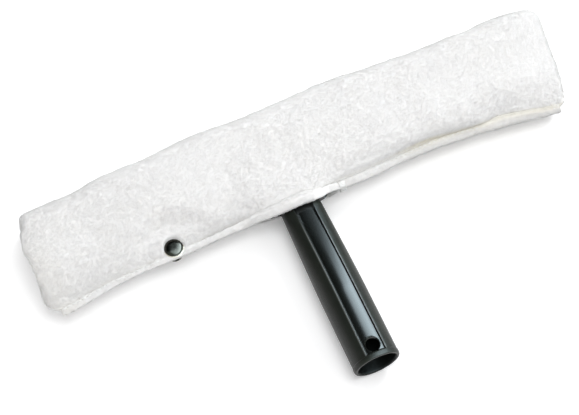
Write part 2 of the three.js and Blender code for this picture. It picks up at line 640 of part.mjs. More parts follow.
// The flap's fold line runs from the slit's end, inside the binding, to the open end.
const slitEnd = SLIT_CENTRE + SLIT_HALF_LENGTH;
const peelStart = new THREE.Vector2(slitEnd, hemY(slitEnd) + BINDING_WIDTH);
const peelAlong = new THREE.Vector2(-SLEEVE_LEFT, FLAP_TOP_HEIGHT).sub(peelStart).normalize();
const peelNormal = new THREE.Vector2(-peelAlong.y, peelAlong.x);

// The part of the front layer that peels open, grown by room all round. Behind the crossbar it reaches down
// only to the pocket's top, so that it swings clear.
function flapRoom(room) {
  const far = 2 * SLEEVE_LEFT;
  const top = CROWN_HEIGHT + OVERRUN;
  const start = peelStart.clone().addScaledVector(peelNormal, -room);
  const end = start.clone().addScaledVector(peelAlong, far);
  const right = start.x + room;
  const low = MIDDLE + FIT / 2 - room;
  const whole = polygon([[right, start.y], [end.x, end.y], [-far, -far], [right, -far]]);
  const ahead = polygon([[-far, -far], [right, -far], [right, room], [-far, room]]);
  return plate(whole, pocketTop - room, top).add(plate(whole, low, top).intersect(plate(ahead, low, top)));
}

const snapY = hemY(SNAP_X) + SNAP_INSET;
const socketTop = MIDDLE + SOCKET_PLATE + FIT;
const socketBottom = socketTop - SOCKET_RING_HEIGHT;
const studFlangeTop = socketBottom - FIT;
const studFlangeBottom = studFlangeTop - STUD_FLANGE;
const eyeletTop = studFlangeBottom - CLAMPED_CLOTH - 2 * FIT;
const capBottom = socketTop + CLAMPED_CLOTH + 2 * FIT;

// Pockets that the press stud makes in the front lip and in the back lip.
function frontSnapRoom() {
  return cylinder(SNAP_X, snapY, SOCKET_RING_RADIUS + FIT, 0, socketTop + FIT)
    .add(cylinder(SNAP_X, snapY, CAP_POST_RADIUS + FIT, 0, CROWN_HEIGHT))
    .add(cylinder(SNAP_X, snapY, CAP_RADIUS + FIT, capBottom - FIT, CROWN_HEIGHT + OVERRUN));
}

function backSnapRoom() {
  return cylinder(SNAP_X, snapY, SOCKET_RING_RADIUS + PEEL_ROOM, studFlangeBottom - FIT, CROWN_HEIGHT)
    .add(cylinder(SNAP_X, snapY, EYELET_POST_RADIUS + FIT, 0, CROWN_HEIGHT))
    .add(cylinder(SNAP_X, snapY, EYELET_RADIUS + FIT, -OVERRUN, eyeletTop + FIT));
}

// Stations along the hem, which strips and threads share: every hem step from the slit's middle, and
// the ends.
function stations(from, to) {
  const first = Math.floor((from - SLIT_CENTRE) / HEM_STEP) + 1;
  const last = Math.ceil((to - SLIT_CENTRE) / HEM_STEP) - 1;
  const between = Array.from({ length: last - first + 1 }, (_, k) => SLIT_CENTRE + (first + k) * HEM_STEP);
  return [from, ...between, to];
}

// A strip of binding along the hem, between two heights that may change along it, or with room round it.
function bindingStrip(from, to, lowAt, highAt, edgeAt = hemY, room = 0) {
  const rings = stations(from, to).map((x) => {
    const inner = edgeAt(x) + BINDING_WIDTH - FIT + room;
    const outer = edgeAt(x) - room;
    const low = lowAt(x) - room;
    const high = highAt(x) + room;
    const fillet = Math.min(BINDING_ROUND, (high - low) / 3);
    return [
      new THREE.Vector3(x, inner, low),
      new THREE.Vector3(x, inner, high),
      new THREE.Vector3(x, outer + fillet, high),
      new THREE.Vector3(x, outer, high - fillet),
      new THREE.Vector3(x, outer, low + fillet),
      new THREE.Vector3(x, outer + fillet, low),
    ];
  });
  return ringSolid(rings);
}

const lipStart = openEndX(0) + FIT;
const lipEnd = slitEnd - FIT;
const seamEnd = sewnEndX(0) - FIT;
const frontLipLow = (x) => MIDDLE + FIT / 2 + slitLift(x);
const frontLipHigh = (x) => frontLipLow(x) + BINDING_THICKNESS;
const backLipHigh = (x) => MIDDLE - FIT / 2 - slitLift(x);
const backLipLow = (x) => Math.max(0, backLipHigh(x) - BINDING_THICKNESS);
const seamHigh = () => MIDDLE + SEAM_HALF_THICKNESS;
const seamLow = () => MIDDLE - SEAM_HALF_THICKNESS;

// A sewing thread that follows places, each a THREE.Vector3, with its sections square to the X axis or,
// where the thread runs across the washer, to the Y axis.
function threadThrough(places, runsAcross = false) {
  const rings = places.map((place) =>
    Array.from({ length: THREAD_SIDES }, (_, j) => {
      const turn = (2 * Math.PI * j) / THREAD_SIDES;
      const out = THREAD_RADIUS * Math.sin(turn);
      const offset = runsAcross ? new THREE.Vector3(out, 0, 0) : new THREE.Vector3(0, out, 0);
      return place.clone().add(offset).setZ(place.z + THREAD_RADIUS * Math.cos(turn));
    }),
  );
  return ringSolid(rings);
}

// A row of stitches along a strip of binding, just off its upper or lower face.
function hemThread(from, to, heightAt, edgeAt = hemY) {
  const yAt = (x) => edgeAt(x) + BINDING_WIDTH - THREAD_INSET;
  return threadThrough(stations(from, to).map((x) => new THREE.Vector3(x, yAt(x), heightAt(x))));
}

// The stitches that close the sleeve's right end, on its end face.
function endThread() {
  const out = THREAD_RADIUS + FIT;
  return threadThrough(
    Array.from({ length: SLEEVE_STEPS_ACROSS + 1 }, (_, k) => {
      const across = (1 - Math.cos((Math.PI * k) / SLEEVE_STEPS_ACROSS)) / 2;
      const x = sewnEndX(across);
      const low = hemY(x) + BINDING_WIDTH;
      return new THREE.Vector3(x + out, low + (foldY(x) - low) * across, MIDDLE);
    }),
    true,
  );
}

// The bar tack: a block of stitches that grips the seam's binding where the slit ends.
function barTack() {
  const from = slitEnd + FIT;
  const block = (grow) =>
    bindingStrip(
      from - grow,
      from + TACK_LENGTH + grow,
      () => MIDDLE - SEAM_HALF_THICKNESS - (grow ? FIT : FIT + TACK_THICKNESS),
      () => MIDDLE + SEAM_HALF_THICKNESS + (grow ? FIT : FIT + TACK_THICKNESS),
    );
  const outside = block(0).translate([0, -TACK_THICKNESS - FIT, 0]);
  const inside = block(OVERRUN).translate([0, -FIT, 0]).add(block(OVERRUN).translate([0, OVERRUN, 0]));
  return outside.subtract(inside);
}

function snapCap() {
  return turned(
    [
      [0, socketTop - SOCKET_PLATE],
      [CAP_POST_RADIUS, socketTop - SOCKET_PLATE],
      [CAP_POST_RADIUS, capBottom],
      [CAP_RADIUS - CAP_RIM / 2, capBottom],
      [CAP_RADIUS, capBottom + CAP_RIM / 2],
      [CAP_RADIUS, capBottom + CAP_RIM],
      ...capShares.map(([out, up]) => [CAP_RADIUS * out, capBottom + CAP_HEIGHT * up]),
      [0, capBottom + CAP_HEIGHT],
    ],
    SNAP_X,
    snapY,
  );
}

function snapSocket() {
  const post = CAP_POST_RADIUS + FIT / 2;
  const ring = turned(
    [
      [post, socketTop],
      [post, socketTop - SOCKET_PLATE],
      [SOCKET_WELL_RADIUS, socketTop - SOCKET_PLATE],
      [SOCKET_WELL_RADIUS, socketBottom],
      [SOCKET_RING_RADIUS - FIT, socketBottom],
      [SOCKET_RING_RADIUS, socketBottom + FIT],
      [SOCKET_RING_RADIUS, socketTop],
      [post, socketTop],
    ],
    SNAP_X,
    snapY,
  );
  return ring;
}

// The socket's spring: an open ring of wire that closes under the stud's head.
function snapSpring() {
  const radius = (SOCKET_WELL_RADIUS + STUD_RADIUS) / 2;
  const height = socketBottom + (SOCKET_RING_HEIGHT - SOCKET_PLATE) / 2;
  const facing = Math.atan2(-peelNormal.y, -peelNormal.x);
  const rings = Array.from({ length: SPRING_STEPS + 1 }, (_, k) => {
    const turn = facing + SPRING_GAP / 2 + ((2 * Math.PI - SPRING_GAP) * k) / SPRING_STEPS;
    return Array.from({ length: SPRING_SIDES }, (_, j) => {
      const roll = (2 * Math.PI * j) / SPRING_SIDES;
      const out = radius + SPRING_WIRE_RADIUS * Math.cos(roll);
      return new THREE.Vector3(
        SNAP_X + out * Math.cos(turn),
        snapY + out * Math.sin(turn),
        height + SPRING_WIRE_RADIUS * Math.sin(roll),
      );
    });
  });
  return ringSolid(rings);
}

function snapStud() {
  const bore = EYELET_POST_RADIUS + FIT / 2;
  const top = socketTop - SOCKET_PLATE - FIT;
  const height = top - studFlangeTop;
  const mouth = STUD_BORE_RADIUS;
  return turned(
    [
      [bore, studFlangeBottom],
      [STUD_FLANGE_RADIUS - FIT, studFlangeBottom],
      [STUD_FLANGE_RADIUS, studFlangeBottom + FIT],
      [STUD_FLANGE_RADIUS, studFlangeTop],
      [STUD_RADIUS, studFlangeTop],
      [STUD_NECK_RADIUS + FIT / 2, studFlangeTop + height * 0.3],
      [STUD_RADIUS, studFlangeTop + height * 0.7],
      [STUD_NECK_RADIUS, top],
      [mouth, top],
      [mouth, studFlangeTop + FIT],
      [bore, studFlangeTop],
      [bore, studFlangeBottom],
    ],
    SNAP_X,
    snapY,
  );
}

function snapEyelet() {
  const low = eyeletTop - EYELET_THICKNESS;
  const tip = studFlangeTop - FIT;
  return turned(
    [
      [STUD_BORE_RADIUS, low],
      [EYELET_RADIUS - FIT, low],
      [EYELET_RADIUS, low + FIT],
      [EYELET_RADIUS, eyeletTop],
      [EYELET_POST_RADIUS, eyeletTop],
      [EYELET_POST_RADIUS, tip],
      [STUD_BORE_RADIUS, tip],
      [STUD_BORE_RADIUS, low],
    ],
    SNAP_X,
    snapY,
  );
}

// The bindings, or the room that they need in the fleece.
const frontBinding = (room) => bindingStrip(lipStart, lipEnd, frontLipLow, frontLipHigh, frontEdgeY, room);
const backBinding = (room) => bindingStrip(lipStart, lipEnd, backLipLow, backLipHigh, backEdgeY, room);
const seamBinding = (room) => bindingStrip(slitEnd + FIT, seamEnd, seamLow, seamHigh, hemY, room);

const soft = pillow()
  .subtract(barPocket())
  .subtract(handlePassage())
  .subtract(frontBinding(BINDING_ROOM))
  .subtract(backBinding(BINDING_ROOM))
  .subtract(seamBinding(BINDING_ROOM));
const largest = (solid) => solid.decompose().sort((a, b) => b.volume() - a.volume())[0];
const frontFlap = largest(soft.intersect(flapRoom(0)).subtract(frontSnapRoom()));
const sleeveBody = largest(soft.subtract(flapRoom(FIT)).subtract(backSnapRoom()));

const tBar = new THREE.Group();
tBar.add(
  namedMesh("handle", handle(), blackPlastic),
  namedMesh("crossbar", crossbar(), blackPlastic),
  namedMesh("left_screw", screw(-1), steel),
  namedMesh("right_screw", screw(1), steel),
);

const threadLift = THREAD_RADIUS + FIT;
const seamThreadHeight = () => seamHigh() + threadLift;
const frontThreadHeight = (x) => frontLipHigh(x) + threadLift;
const backThreadHeight = (x) => backLipLow(x) - threadLift;
const capClear = CAP_RADIUS + 2 * FIT;
const lensStart = SLIT_CENTRE - SLIT_HALF_LENGTH;
const tackEnd = slitEnd + TACK_LENGTH + 3 * FIT;

const sleeve = new THREE.Group();
sleeve.add(
  namedMesh("fleece_sleeve", sleeveBody, fleece),
  namedMesh("back_binding", backBinding().subtract(backSnapRoom()), tape),
  namedMesh("seam_binding", seamBinding(), tape),
  namedMesh("seam_thread", hemThread(tackEnd, seamEnd, seamThreadHeight), thread),
  namedMesh("end_thread", endThread(), thread),
  namedMesh("back_thread_left", hemThread(lipStart, SNAP_X - capClear, backThreadHeight), thread),
  namedMesh("back_thread_right", hemThread(SNAP_X + capClear, lensStart, backThreadHeight), thread),
  namedMesh("bar_tack", barTack(), thread),
  namedMesh("snap_stud", snapStud(), steel),
  namedMesh("snap_eyelet", snapEyelet(), steel),
);

const flap = new THREE.Group();
flap.add(
  namedMesh("front_flap", frontFlap, fleece),
  namedMesh("front_binding", frontBinding().subtract(frontSnapRoom()), tape),
  namedMesh("front_thread_left", hemThread(lipStart, SNAP_X - capClear, frontThreadHeight), thread),
  namedMesh(
    "front_thread_right",
    hemThread(SNAP_X + capClear, lipEnd, frontThreadHeight, frontEdgeY),
    thread,
  ),
  namedMesh("snap_cap", snapCap(), blackSteel),
  namedMesh("snap_socket", snapSocket(), steel),
  namedMesh("snap_spring", snapSpring(), steel),
);

const washer = new THREE.Group();
washer.add(tBar, sleeve, flap);

// The frame's origin: on the rest plane, under the middle of the whole washer.
const extent = new THREE.Box3().setFromObject(washer);
const middle = extent.getCenter(new THREE.Vector3());
washer.position.set(-middle.x, -middle.y, -extent.min.z);

export default washer;
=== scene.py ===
"""Window strip washer: the looks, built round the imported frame. Metres, in the frame's own axes.

Shapes are drawn in millimetres from the point where the crossbar and the handle cross, with z = 0 on the
rest plane, and placed() turns them into the frame's metres.
"""
import math

import bpy
import numpy as np
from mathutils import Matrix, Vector


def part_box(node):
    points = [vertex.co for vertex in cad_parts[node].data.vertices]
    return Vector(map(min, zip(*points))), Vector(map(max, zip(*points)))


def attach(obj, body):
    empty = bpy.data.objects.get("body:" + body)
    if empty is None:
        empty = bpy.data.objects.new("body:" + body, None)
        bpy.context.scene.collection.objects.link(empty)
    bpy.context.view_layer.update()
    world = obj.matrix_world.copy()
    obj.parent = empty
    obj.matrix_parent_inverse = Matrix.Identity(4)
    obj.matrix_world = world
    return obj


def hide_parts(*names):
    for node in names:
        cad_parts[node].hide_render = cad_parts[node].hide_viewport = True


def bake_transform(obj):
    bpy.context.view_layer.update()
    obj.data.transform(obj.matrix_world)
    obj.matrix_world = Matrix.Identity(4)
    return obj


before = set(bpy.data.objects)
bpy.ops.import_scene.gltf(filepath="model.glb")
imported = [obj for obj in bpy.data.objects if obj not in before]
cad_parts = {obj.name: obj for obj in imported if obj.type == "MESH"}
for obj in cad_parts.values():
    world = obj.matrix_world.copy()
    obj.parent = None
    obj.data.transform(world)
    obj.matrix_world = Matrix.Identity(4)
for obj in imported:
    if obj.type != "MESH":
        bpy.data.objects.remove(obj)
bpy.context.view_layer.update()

MM = 0.001
bar_low, bar_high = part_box("crossbar")
ORIGIN = np.array([(bar_low.x + bar_high.x) / 2, (bar_low.y + bar_high.y) / 2, 0.0])
MIDDLE = (bar_low.z + bar_high.z) / 2 / MM  # height of the slit and of the T-bar's middle plane
BAR_HALF_LENGTH = (bar_high.x - bar_low.x) / 2 / MM
BAR_HALF_WIDTH = (bar_high.y - bar_low.y) / 2 / MM

# Sleeve. A share runs from 0 at the open end to 1 at the sewn end, or from 0 at the hem to 1 at the fold
CROWN = 29.2
HEM_DEPTH, FOLD_HEIGHT = 28.5, 45.0
SLEEVE_LEFT, SLEEVE_LENGTH = 172.0, 376.0
OPEN_END_RAGGED, SEWN_END_SLANT = 15.0, 23.0
SLIT_CENTRE, SLIT_HALF_HEIGHT = -2.0, 11.2
SLIT_RUNS, SLIT_POWERS = (35.0, 30.6), (1.15, 0.85)  # to the left and to the right of its centre
LIP_DRAW, ARM_DRAW = 2.8, 1.8  # how far in the back lip lies, at the handle and away from it
BACK_END_INSET = 2.4
LIP_BULGES = [  # x and how far the front edge hangs below the hem line there
    (-176, 1.5), (-60, 1.5), (-46, 1.4), (-36, 1.7), (-30, 2.6), (-26, 3.5), (-20, 4.8), (-14, 5.7),
    (-8, 6.0), (6, 6.0), (12, 5.6), (18, 3.9), (24, 2.5), (32, 1.7), (55, 1.4), (80, 0.5), (100, 0),
    (206, 0),
]
HEM_SHARES = [
    (0, 1.4), (0.04, 1.36), (0.116, 1.185), (0.18, 1.1), (0.25, 1.065), (0.32, 1.0), (0.45, 0.965),
    (0.594, 0.935), (0.68, 0.9), (0.75, 0.915), (0.8, 0.955), (0.871, 1.045), (0.92, 1.14), (0.96, 1.2),
    (1, 1.22),
]
FOLD_SHARES = [
    (0, 0.68), (0.027, 0.755), (0.116, 0.79), (0.16, 0.87), (0.24, 0.885), (0.345, 0.975), (0.43, 0.953),
    (0.58, 1.03), (0.68, 0.998), (0.84, 0.99), (0.92, 1.02), (1, 1.02),
]
SEWN_END_SHARES = [(0, 0.12), (0.05, 0.38), (0.26, 0.62), (0.6, 0.84), (0.88, 1), (1, 0.68)]
OPEN_END_SHARES = [
    (0, 0.62), (0.04, 0.32), (0.11, 0.19), (0.28, 0.25), (0.48, 0.24), (0.62, 0.15), (0.74, 0.24),
    (0.86, 0.38), (1, 0.46),
]


def curve_through(shares):
    """A function whose graph is the uniform Catmull-Rom curve through the points."""
    p = np.array(shares, float)
    p = np.vstack([p[0], p, p[-1]])
    t = np.linspace(0, 1, 40)[:, None]
    runs = []
    for a, b, c, d in zip(p[:-3], p[1:-2], p[2:-1], p[3:]):
        square, cube = 2 * a - 5 * b + 4 * c - d, 3 * b - a - 3 * c + d
        runs.append(0.5 * (2 * b + (c - a) * t + square * t**2 + cube * t**3))
    line = np.vstack(runs)
    return lambda x: np.interp(x, line[:, 0], line[:, 1])


hem_curve, fold_curve = curve_through(HEM_SHARES), curve_through(FOLD_SHARES)
sewn_curve, open_curve = curve_through(SEWN_END_SHARES), curve_through(OPEN_END_SHARES)
lip_bulge = curve_through(LIP_BULGES)


def along_share(x):
    return (x + SLEEVE_LEFT) / SLEEVE_LENGTH


def hem_y(x):
    return -HEM_DEPTH * hem_curve(along_share(x))


def fold_y(x):
    return FOLD_HEIGHT * fold_curve(along_share(x))


def open_end_x(v):
    return -SLEEVE_LEFT + OPEN_END_RAGGED * open_curve(v)


def sewn_end_x(v):
    return SLEEVE_LENGTH - SLEEVE_LEFT - SEWN_END_SLANT * (1 - sewn_curve(v))


def slit_lens(x):
    """1 at the middle of the opening round the handle, falling to 0 at its ends: 1 less the square of the
    share of the way there, to a power. Both differ between the left and the right."""
    side = (x >= SLIT_CENTRE).astype(int)
    run, power = np.array(SLIT_RUNS)[side], np.array(SLIT_POWERS)[side]
    return np.clip(1 - ((x - SLIT_CENTRE) / run) ** 2, 0, 1) ** power


def smooth(low, high, x):
    t = np.clip((x - low) / (high - low), 0, 1)
    return t * t * (3 - 2 * t)


def quarter(distance, radius):
    """Rises from 0 at distance 0 to 1 at the radius, as a quarter circle does."""
    return np.sqrt(np.clip(1 - (1 - np.clip(distance / radius, 0, 1)) ** 2, 0, 1))


def signed_power(values, power):
    """The size of the values to a power, with their sign: it turns a circle into a superellipse."""
    return np.sign(values) * np.abs(values) ** power


def unit(vectors):
    """The vectors of the last axis at length 1."""
    return vectors / np.maximum(np.linalg.norm(vectors, axis=-1, keepdims=True), 1e-9)


def placed(points):
    return np.asarray(points, float) * MM + ORIGIN


def mesh_piece(name, points, faces, material, smooth_angle=None):
    """A new object from points in millimetres and faces, an array of index rows of one length."""
    mesh = bpy.data.meshes.new(name)
    faces = np.asarray(faces, np.int32)
    sides = faces.shape[1]
    mesh.vertices.add(len(points))
    mesh.vertices.foreach_set("co", placed(points).astype(np.float32).ravel())
    mesh.loops.add(faces.size)
    mesh.loops.foreach_set("vertex_index", faces.ravel())
    mesh.polygons.add(len(faces))
    mesh.polygons.foreach_set("loop_start", np.arange(0, faces.size, sides, dtype=np.int32))
    mesh.update(calc_edges=True)
    mesh.validate()
    mesh.polygons.foreach_set("use_smooth", np.ones(len(mesh.polygons), bool))
    if smooth_angle is not None:
        mesh.set_sharp_from_angle(angle=math.radians(smooth_angle))
    piece = bpy.data.objects.new(name, mesh)
    bpy.context.scene.collection.objects.link(piece)
    mesh.materials.append(material)
    return piece


def grid_faces(rows, columns, closed_rows=False, closed_columns=False, start=0):
    """Quads of a grid of points stored row after row."""
    i = np.arange(rows if closed_rows else rows - 1)[:, None]
    j = np.arange(columns if closed_columns else columns - 1)[None, :]
    i2, j2 = (i + 1) % rows, (j + 1) % columns
    corners = i * columns + j, i2 * columns + j, i2 * columns + j2, i * columns + j2
    return np.stack(np.broadcast_arrays(*corners), -1).reshape(-1, 4) + start


def noise_field(rows, columns, row_step, column_step, wavelength, seed):
    """Smooth noise of about unit spread on a grid: random values at one wavelength, joined by cubic
    ramps."""
    source = np.random.default_rng(seed)
    height, width = rows * row_step / wavelength, columns * column_step / wavelength
    values = source.standard_normal((int(height) + 3, int(width) + 3))
    y = np.linspace(0, height, rows)
    x = np.linspace(0, width, columns)
    yi, xi = y.astype(int), x.astype(int)
    fy, fx = (y - yi)[:, None], (x - xi)[None, :]
    fy, fx = fy * fy * (3 - 2 * fy), fx * fx * (3 - 2 * fx)
    a = values[np.ix_(yi, xi)] * (1 - fx) + values[np.ix_(yi, xi + 1)] * fx
    b = values[np.ix_(yi + 1, xi)] * (1 - fx) + values[np.ix_(yi + 1, xi + 1)] * fx
    return a * (1 - fy) + b * fy


def rgb(red, green, blue):
    return (red, green, blue, 1.0)


# Finishes
# the shade tone is painted shade in the pile's low parts, and also the tone of its random patches
FLEECE_TONE, FLEECE_SHADE = rgb(0.965, 0.957, 0.943), rgb(0.915, 0.902, 0.88)
# the first is a yellowish painted shade for the creases, also a faint warmer tint at the left end; the second
# is the dim tone of random tufts
FLEECE_SHADE_AND_WARMTH, FLEECE_DIM = rgb(0.77, 0.72, 0.58), rgb(0.93, 0.925, 0.918)
HANDLE_TONE, HANDLE_WORN = rgb(0.0058, 0.0068, 0.0048), rgb(0.0125, 0.0143, 0.0105)
# the second is a painted highlight along the sunk panel's edges
PANEL_TONE, EDGE_HIGHLIGHT_TONE = rgb(0.004, 0.0048, 0.0045), rgb(0.15, 0.16, 0.155)
HANDLE_ROUGHNESS, PANEL_ROUGHNESS = 0.42, 0.2


def put(tree, value, socket):
    """Sets an input to a number or colour, or links it to another node's output."""
    if isinstance(value, bpy.types.NodeSocket):
        tree.links.new(value, socket)
    else:
        socket.default_value = value


def feed(tree, node, **inputs):
    """Sets a node's inputs by name, with an underscore for each space."""
    for label, value in inputs.items():
        put(tree, value, node.inputs[label.replace("_", " ")])
    return node


def new_node(tree, kind, **inputs):
    return feed(tree, tree.nodes.new("ShaderNode" + kind), **inputs)


def math_node(tree, operation, a, b, clamp=False):
    node = tree.nodes.new("ShaderNodeMath")
    node.operation, node.use_clamp = operation, clamp
    put(tree, a, node.inputs[0])
    put(tree, b, node.inputs[1])
    return node.outputs[0]


def total(tree, a, b, clamp=False):
    return math_node(tree, "ADD", a, b, clamp)


def product(tree, first, *others):
    for other in others:
        first = math_node(tree, "MULTIPLY", first, other)
    return first


def colour_mix(tree, factor, a, b, blend="MIX"):
    node = tree.nodes.new("ShaderNodeMix")
    node.data_type, node.blend_type = "RGBA", blend
    for place, value in ((0, factor), (6, a), (7, b)):  # a Mix node's factor and its two colours
        put(tree, value, node.inputs[place])
    return node.outputs[2]


def noise(tree, place, scale, detail=2.0, roughness=0.5):
    node = new_node(tree, "TexNoise", Vector=place, Scale=scale, Detail=detail, Roughness=roughness)
    return node.outputs["Fac"]


def ramp_mask(tree, value, low, high):
    """0 at low, 1 at high, smooth between."""
    node = new_node(tree, "MapRange", Value=value, From_Min=low, From_Max=high)
    node.interpolation_type = "SMOOTHSTEP"
    return node.outputs["Result"]


def object_coordinates(tree):
    return tree.nodes.new("ShaderNodeTexCoord").outputs["Object"]


def shader_group(name, inputs, outputs):
    """An empty node group, the sockets that it is given and the node that takes its results. An input given
    as a tuple is a colour, and so is the output named Color."""
    group = bpy.data.node_groups.new(name, "ShaderNodeTree")
    for label, value in inputs.items():
        kind = "NodeSocketColor" if isinstance(value, tuple) else "NodeSocketFloat"
        group.interface.new_socket(label, in_out="INPUT", socket_type=kind).default_value = value
    for label in outputs:
        kind = "NodeSocketColor" if label == "Color" else "NodeSocketFloat"
        group.interface.new_socket(label, in_out="OUTPUT", socket_type=kind)
    return group, group.nodes.new("NodeGroupInput").outputs, group.nodes.new("NodeGroupOutput")


def fibre_group():
    """Pile or yarn: clumps and single fibres as height, the low parts between clumps painted darker as shade,
    and a soft change of tone from patch to patch.
    """
    inputs = {"Clump Scale": 700.0, "Fibre Scale": 2200.0, "Tone": FLEECE_TONE, "Shade Tone": FLEECE_SHADE}
    group, given, result = shader_group("Fibre", inputs, ["Color", "Height"])
    place = object_coordinates(group)
    clump = noise(group, place, given["Clump Scale"], 2.0, 0.6)
    fibre = noise(group, place, given["Fibre Scale"], 2.0, 0.7)
    patch = noise(group, place, 28.0, 3.0, 0.55)
    height = total(group, product(group, clump, 0.65), product(group, fibre, 0.35))
    # painted shade: where the height is low, between the clumps, the colour goes towards the shade tone
    valley_shade = product(group, ramp_mask(group, height, 0.52, 0.34), 0.55)
    shade = total(group, valley_shade, product(group, ramp_mask(group, patch, 0.45, 0.7), 0.3), clamp=True)
    feed(group, result, Color=colour_mix(group, shade, given["Tone"], given["Shade Tone"]), Height=height)
    return group


def grain_group():
    """Moulded plastic: a fine spark-eroded grain as height, with long faint rub marks."""
    inputs = {"Grain Scale": 2600.0, "Tone": HANDLE_TONE, "Worn Tone": HANDLE_WORN}
    group, given, result = shader_group("Moulded Grain", inputs, ["Color", "Height", "Rub"])
    place = object_coordinates(group)
    grain = noise(group, place, given["Grain Scale"], 3.0, 0.6)
    stretched = new_node(group, "Mapping", Vector=place, Scale=(1.0, 0.12, 1.0)).outputs["Vector"]
    rub = ramp_mask(group, noise(group, stretched, 420.0, 4.0, 0.65), 0.5, 0.78)
    cloud = ramp_mask(group, noise(group, place, 55.0), 0.4, 0.7)
    worn = total(group, product(group, rub, 0.45), product(group, cloud, 0.3))
    tone = colour_mix(group, worn, given["Tone"], given["Worn Tone"])
    feed(group, result, Color=tone, Height=grain, Rub=rub)
    return group


def metal_group():
    """Pressed sheet metal: fine specks as height, and small stains that are rougher."""
    inputs = {"Tone": rgb(0.6, 0.6, 0.6), "Stain Tone": rgb(0.35, 0.33, 0.3), "Smooth": 0.22}
    group, given, result = shader_group("Pressed Metal", inputs, ["Color", "Roughness", "Height"])
    place = object_coordinates(group)
    stain = ramp_mask(group, noise(group, place, 420.0, 4.0, 0.6), 0.5, 0.75)
    tone = colour_mix(group, stain, given["Tone"], given["Stain Tone"])
    rough = total(group, given["Smooth"], product(group, stain, 0.18))
    feed(group, result, Color=tone, Roughness=rough, Height=noise(group, place, 3400.0, 2.0, 0.7))
    return group


FIBRE, GRAIN, METAL = fibre_group(), grain_group(), metal_group()


def finish(name, roughness, specular=0.5):
    """A new material with its node tree and its Principled BSDF."""
    material = bpy.data.materials.new(name)
    material.use_nodes = True
    tree = material.node_tree
    surface = feed(tree, tree.nodes["Principled BSDF"], Roughness=roughness, Specular_IOR_Level=specular)
    return material, tree, surface


def use_group(tree, group, **inputs):
    node = tree.nodes.new("ShaderNodeGroup")
    node.node_tree = group
    return feed(tree, node, **inputs).outputs


def relief(tree, surface, height, distance, strength=1.0):
    """Feeds a height in shares of distance, in metres, to the surface's normal."""
    bump = new_node(tree, "Bump", Distance=distance, Strength=strength, Height=height)
    feed(tree, surface, Normal=bump.outputs["Normal"])


def attribute_value(tree, name):
    node = tree.nodes.new("ShaderNodeAttribute")
    node.attribute_name = name
    return node.outputs["Fac"]


def fleece_finish():
    """White wool-like pile, with a yellowish shade painted along its creases, strongest in the right arm, and
    a faint warmer tint at the left end.
    """
    material, tree, surface = finish("fleece_pile", 0.95, 0.15)
    tones = {"Tone": FLEECE_TONE, "Shade_Tone": FLEECE_SHADE}
    fibre = use_group(tree, FIBRE, Clump_Scale=720.0, Fibre_Scale=2400.0, **tones)
    # painted shade: the pile turns yellowish and darker along its creases
    shaded_and_warmed = colour_mix(tree, attribute_value(tree, "shade_and_warmth"), fibre["Color"], FLEECE_SHADE_AND_WARMTH)
    mottled = colour_mix(tree, attribute_value(tree, "tuft"), shaded_and_warmed, FLEECE_DIM, "MULTIPLY")
    feed(
        tree, surface, Base_Color=mottled, Subsurface_Weight=0.3, Subsurface_Radius=(1.0, 0.95, 0.88),
        Subsurface_Scale=0.002, Sheen_Weight=0.15, Sheen_Roughness=0.5
    )
    relief(tree, surface, fibre["Height"], 0.0002, 0.5)
    return material


def backing_finish():
    """The knitted back of the pile, seen inside the sleeve."""
    material, tree, surface = finish("knit_backing", 0.9, 0.2)
    # the shade tone here is painted shade in the knit's low parts, and the tone of its patches
    tones = {"Tone": rgb(0.8, 0.79, 0.76), "Shade_Tone": rgb(0.6, 0.58, 0.54)}
    fibre = use_group(tree, FIBRE, Clump_Scale=900.0, Fibre_Scale=3000.0, **tones)
    rows = new_node(tree, "TexWave", Vector=object_coordinates(tree), Scale=260.0, Distortion=1.2, Detail=1.0)
    row = rows.outputs["Fac"]
    dark = product(tree, row, 0.18)
    feed(tree, surface, Base_Color=colour_mix(tree, dark, fibre["Color"], rgb(0.42, 0.4, 0.37)))
    relief(tree, surface, total(tree, row, fibre["Height"]), 0.0004, 0.7)
    return material


def thread_finish():
    """Twisted white sewing thread."""
    material, tree, surface = finish("sewing_thread", 0.6, 0.35)
    # the shade tone here is painted shade in the thread's low parts, and the tone of its patches
    tones = {"Tone": rgb(0.95, 0.945, 0.935), "Shade_Tone": rgb(0.87, 0.86, 0.84)}
    fibre = use_group(tree, FIBRE, Clump_Scale=3000.0, Fibre_Scale=6000.0, **tones)
    twist = new_node(tree, "TexWave", Vector=object_coordinates(tree), Scale=900.0)
    twist.bands_direction = "DIAGONAL"
    feed(tree, surface, Base_Color=fibre["Color"])
    relief(tree, surface, twist.outputs["Fac"], 0.00012, 0.6)
    return material


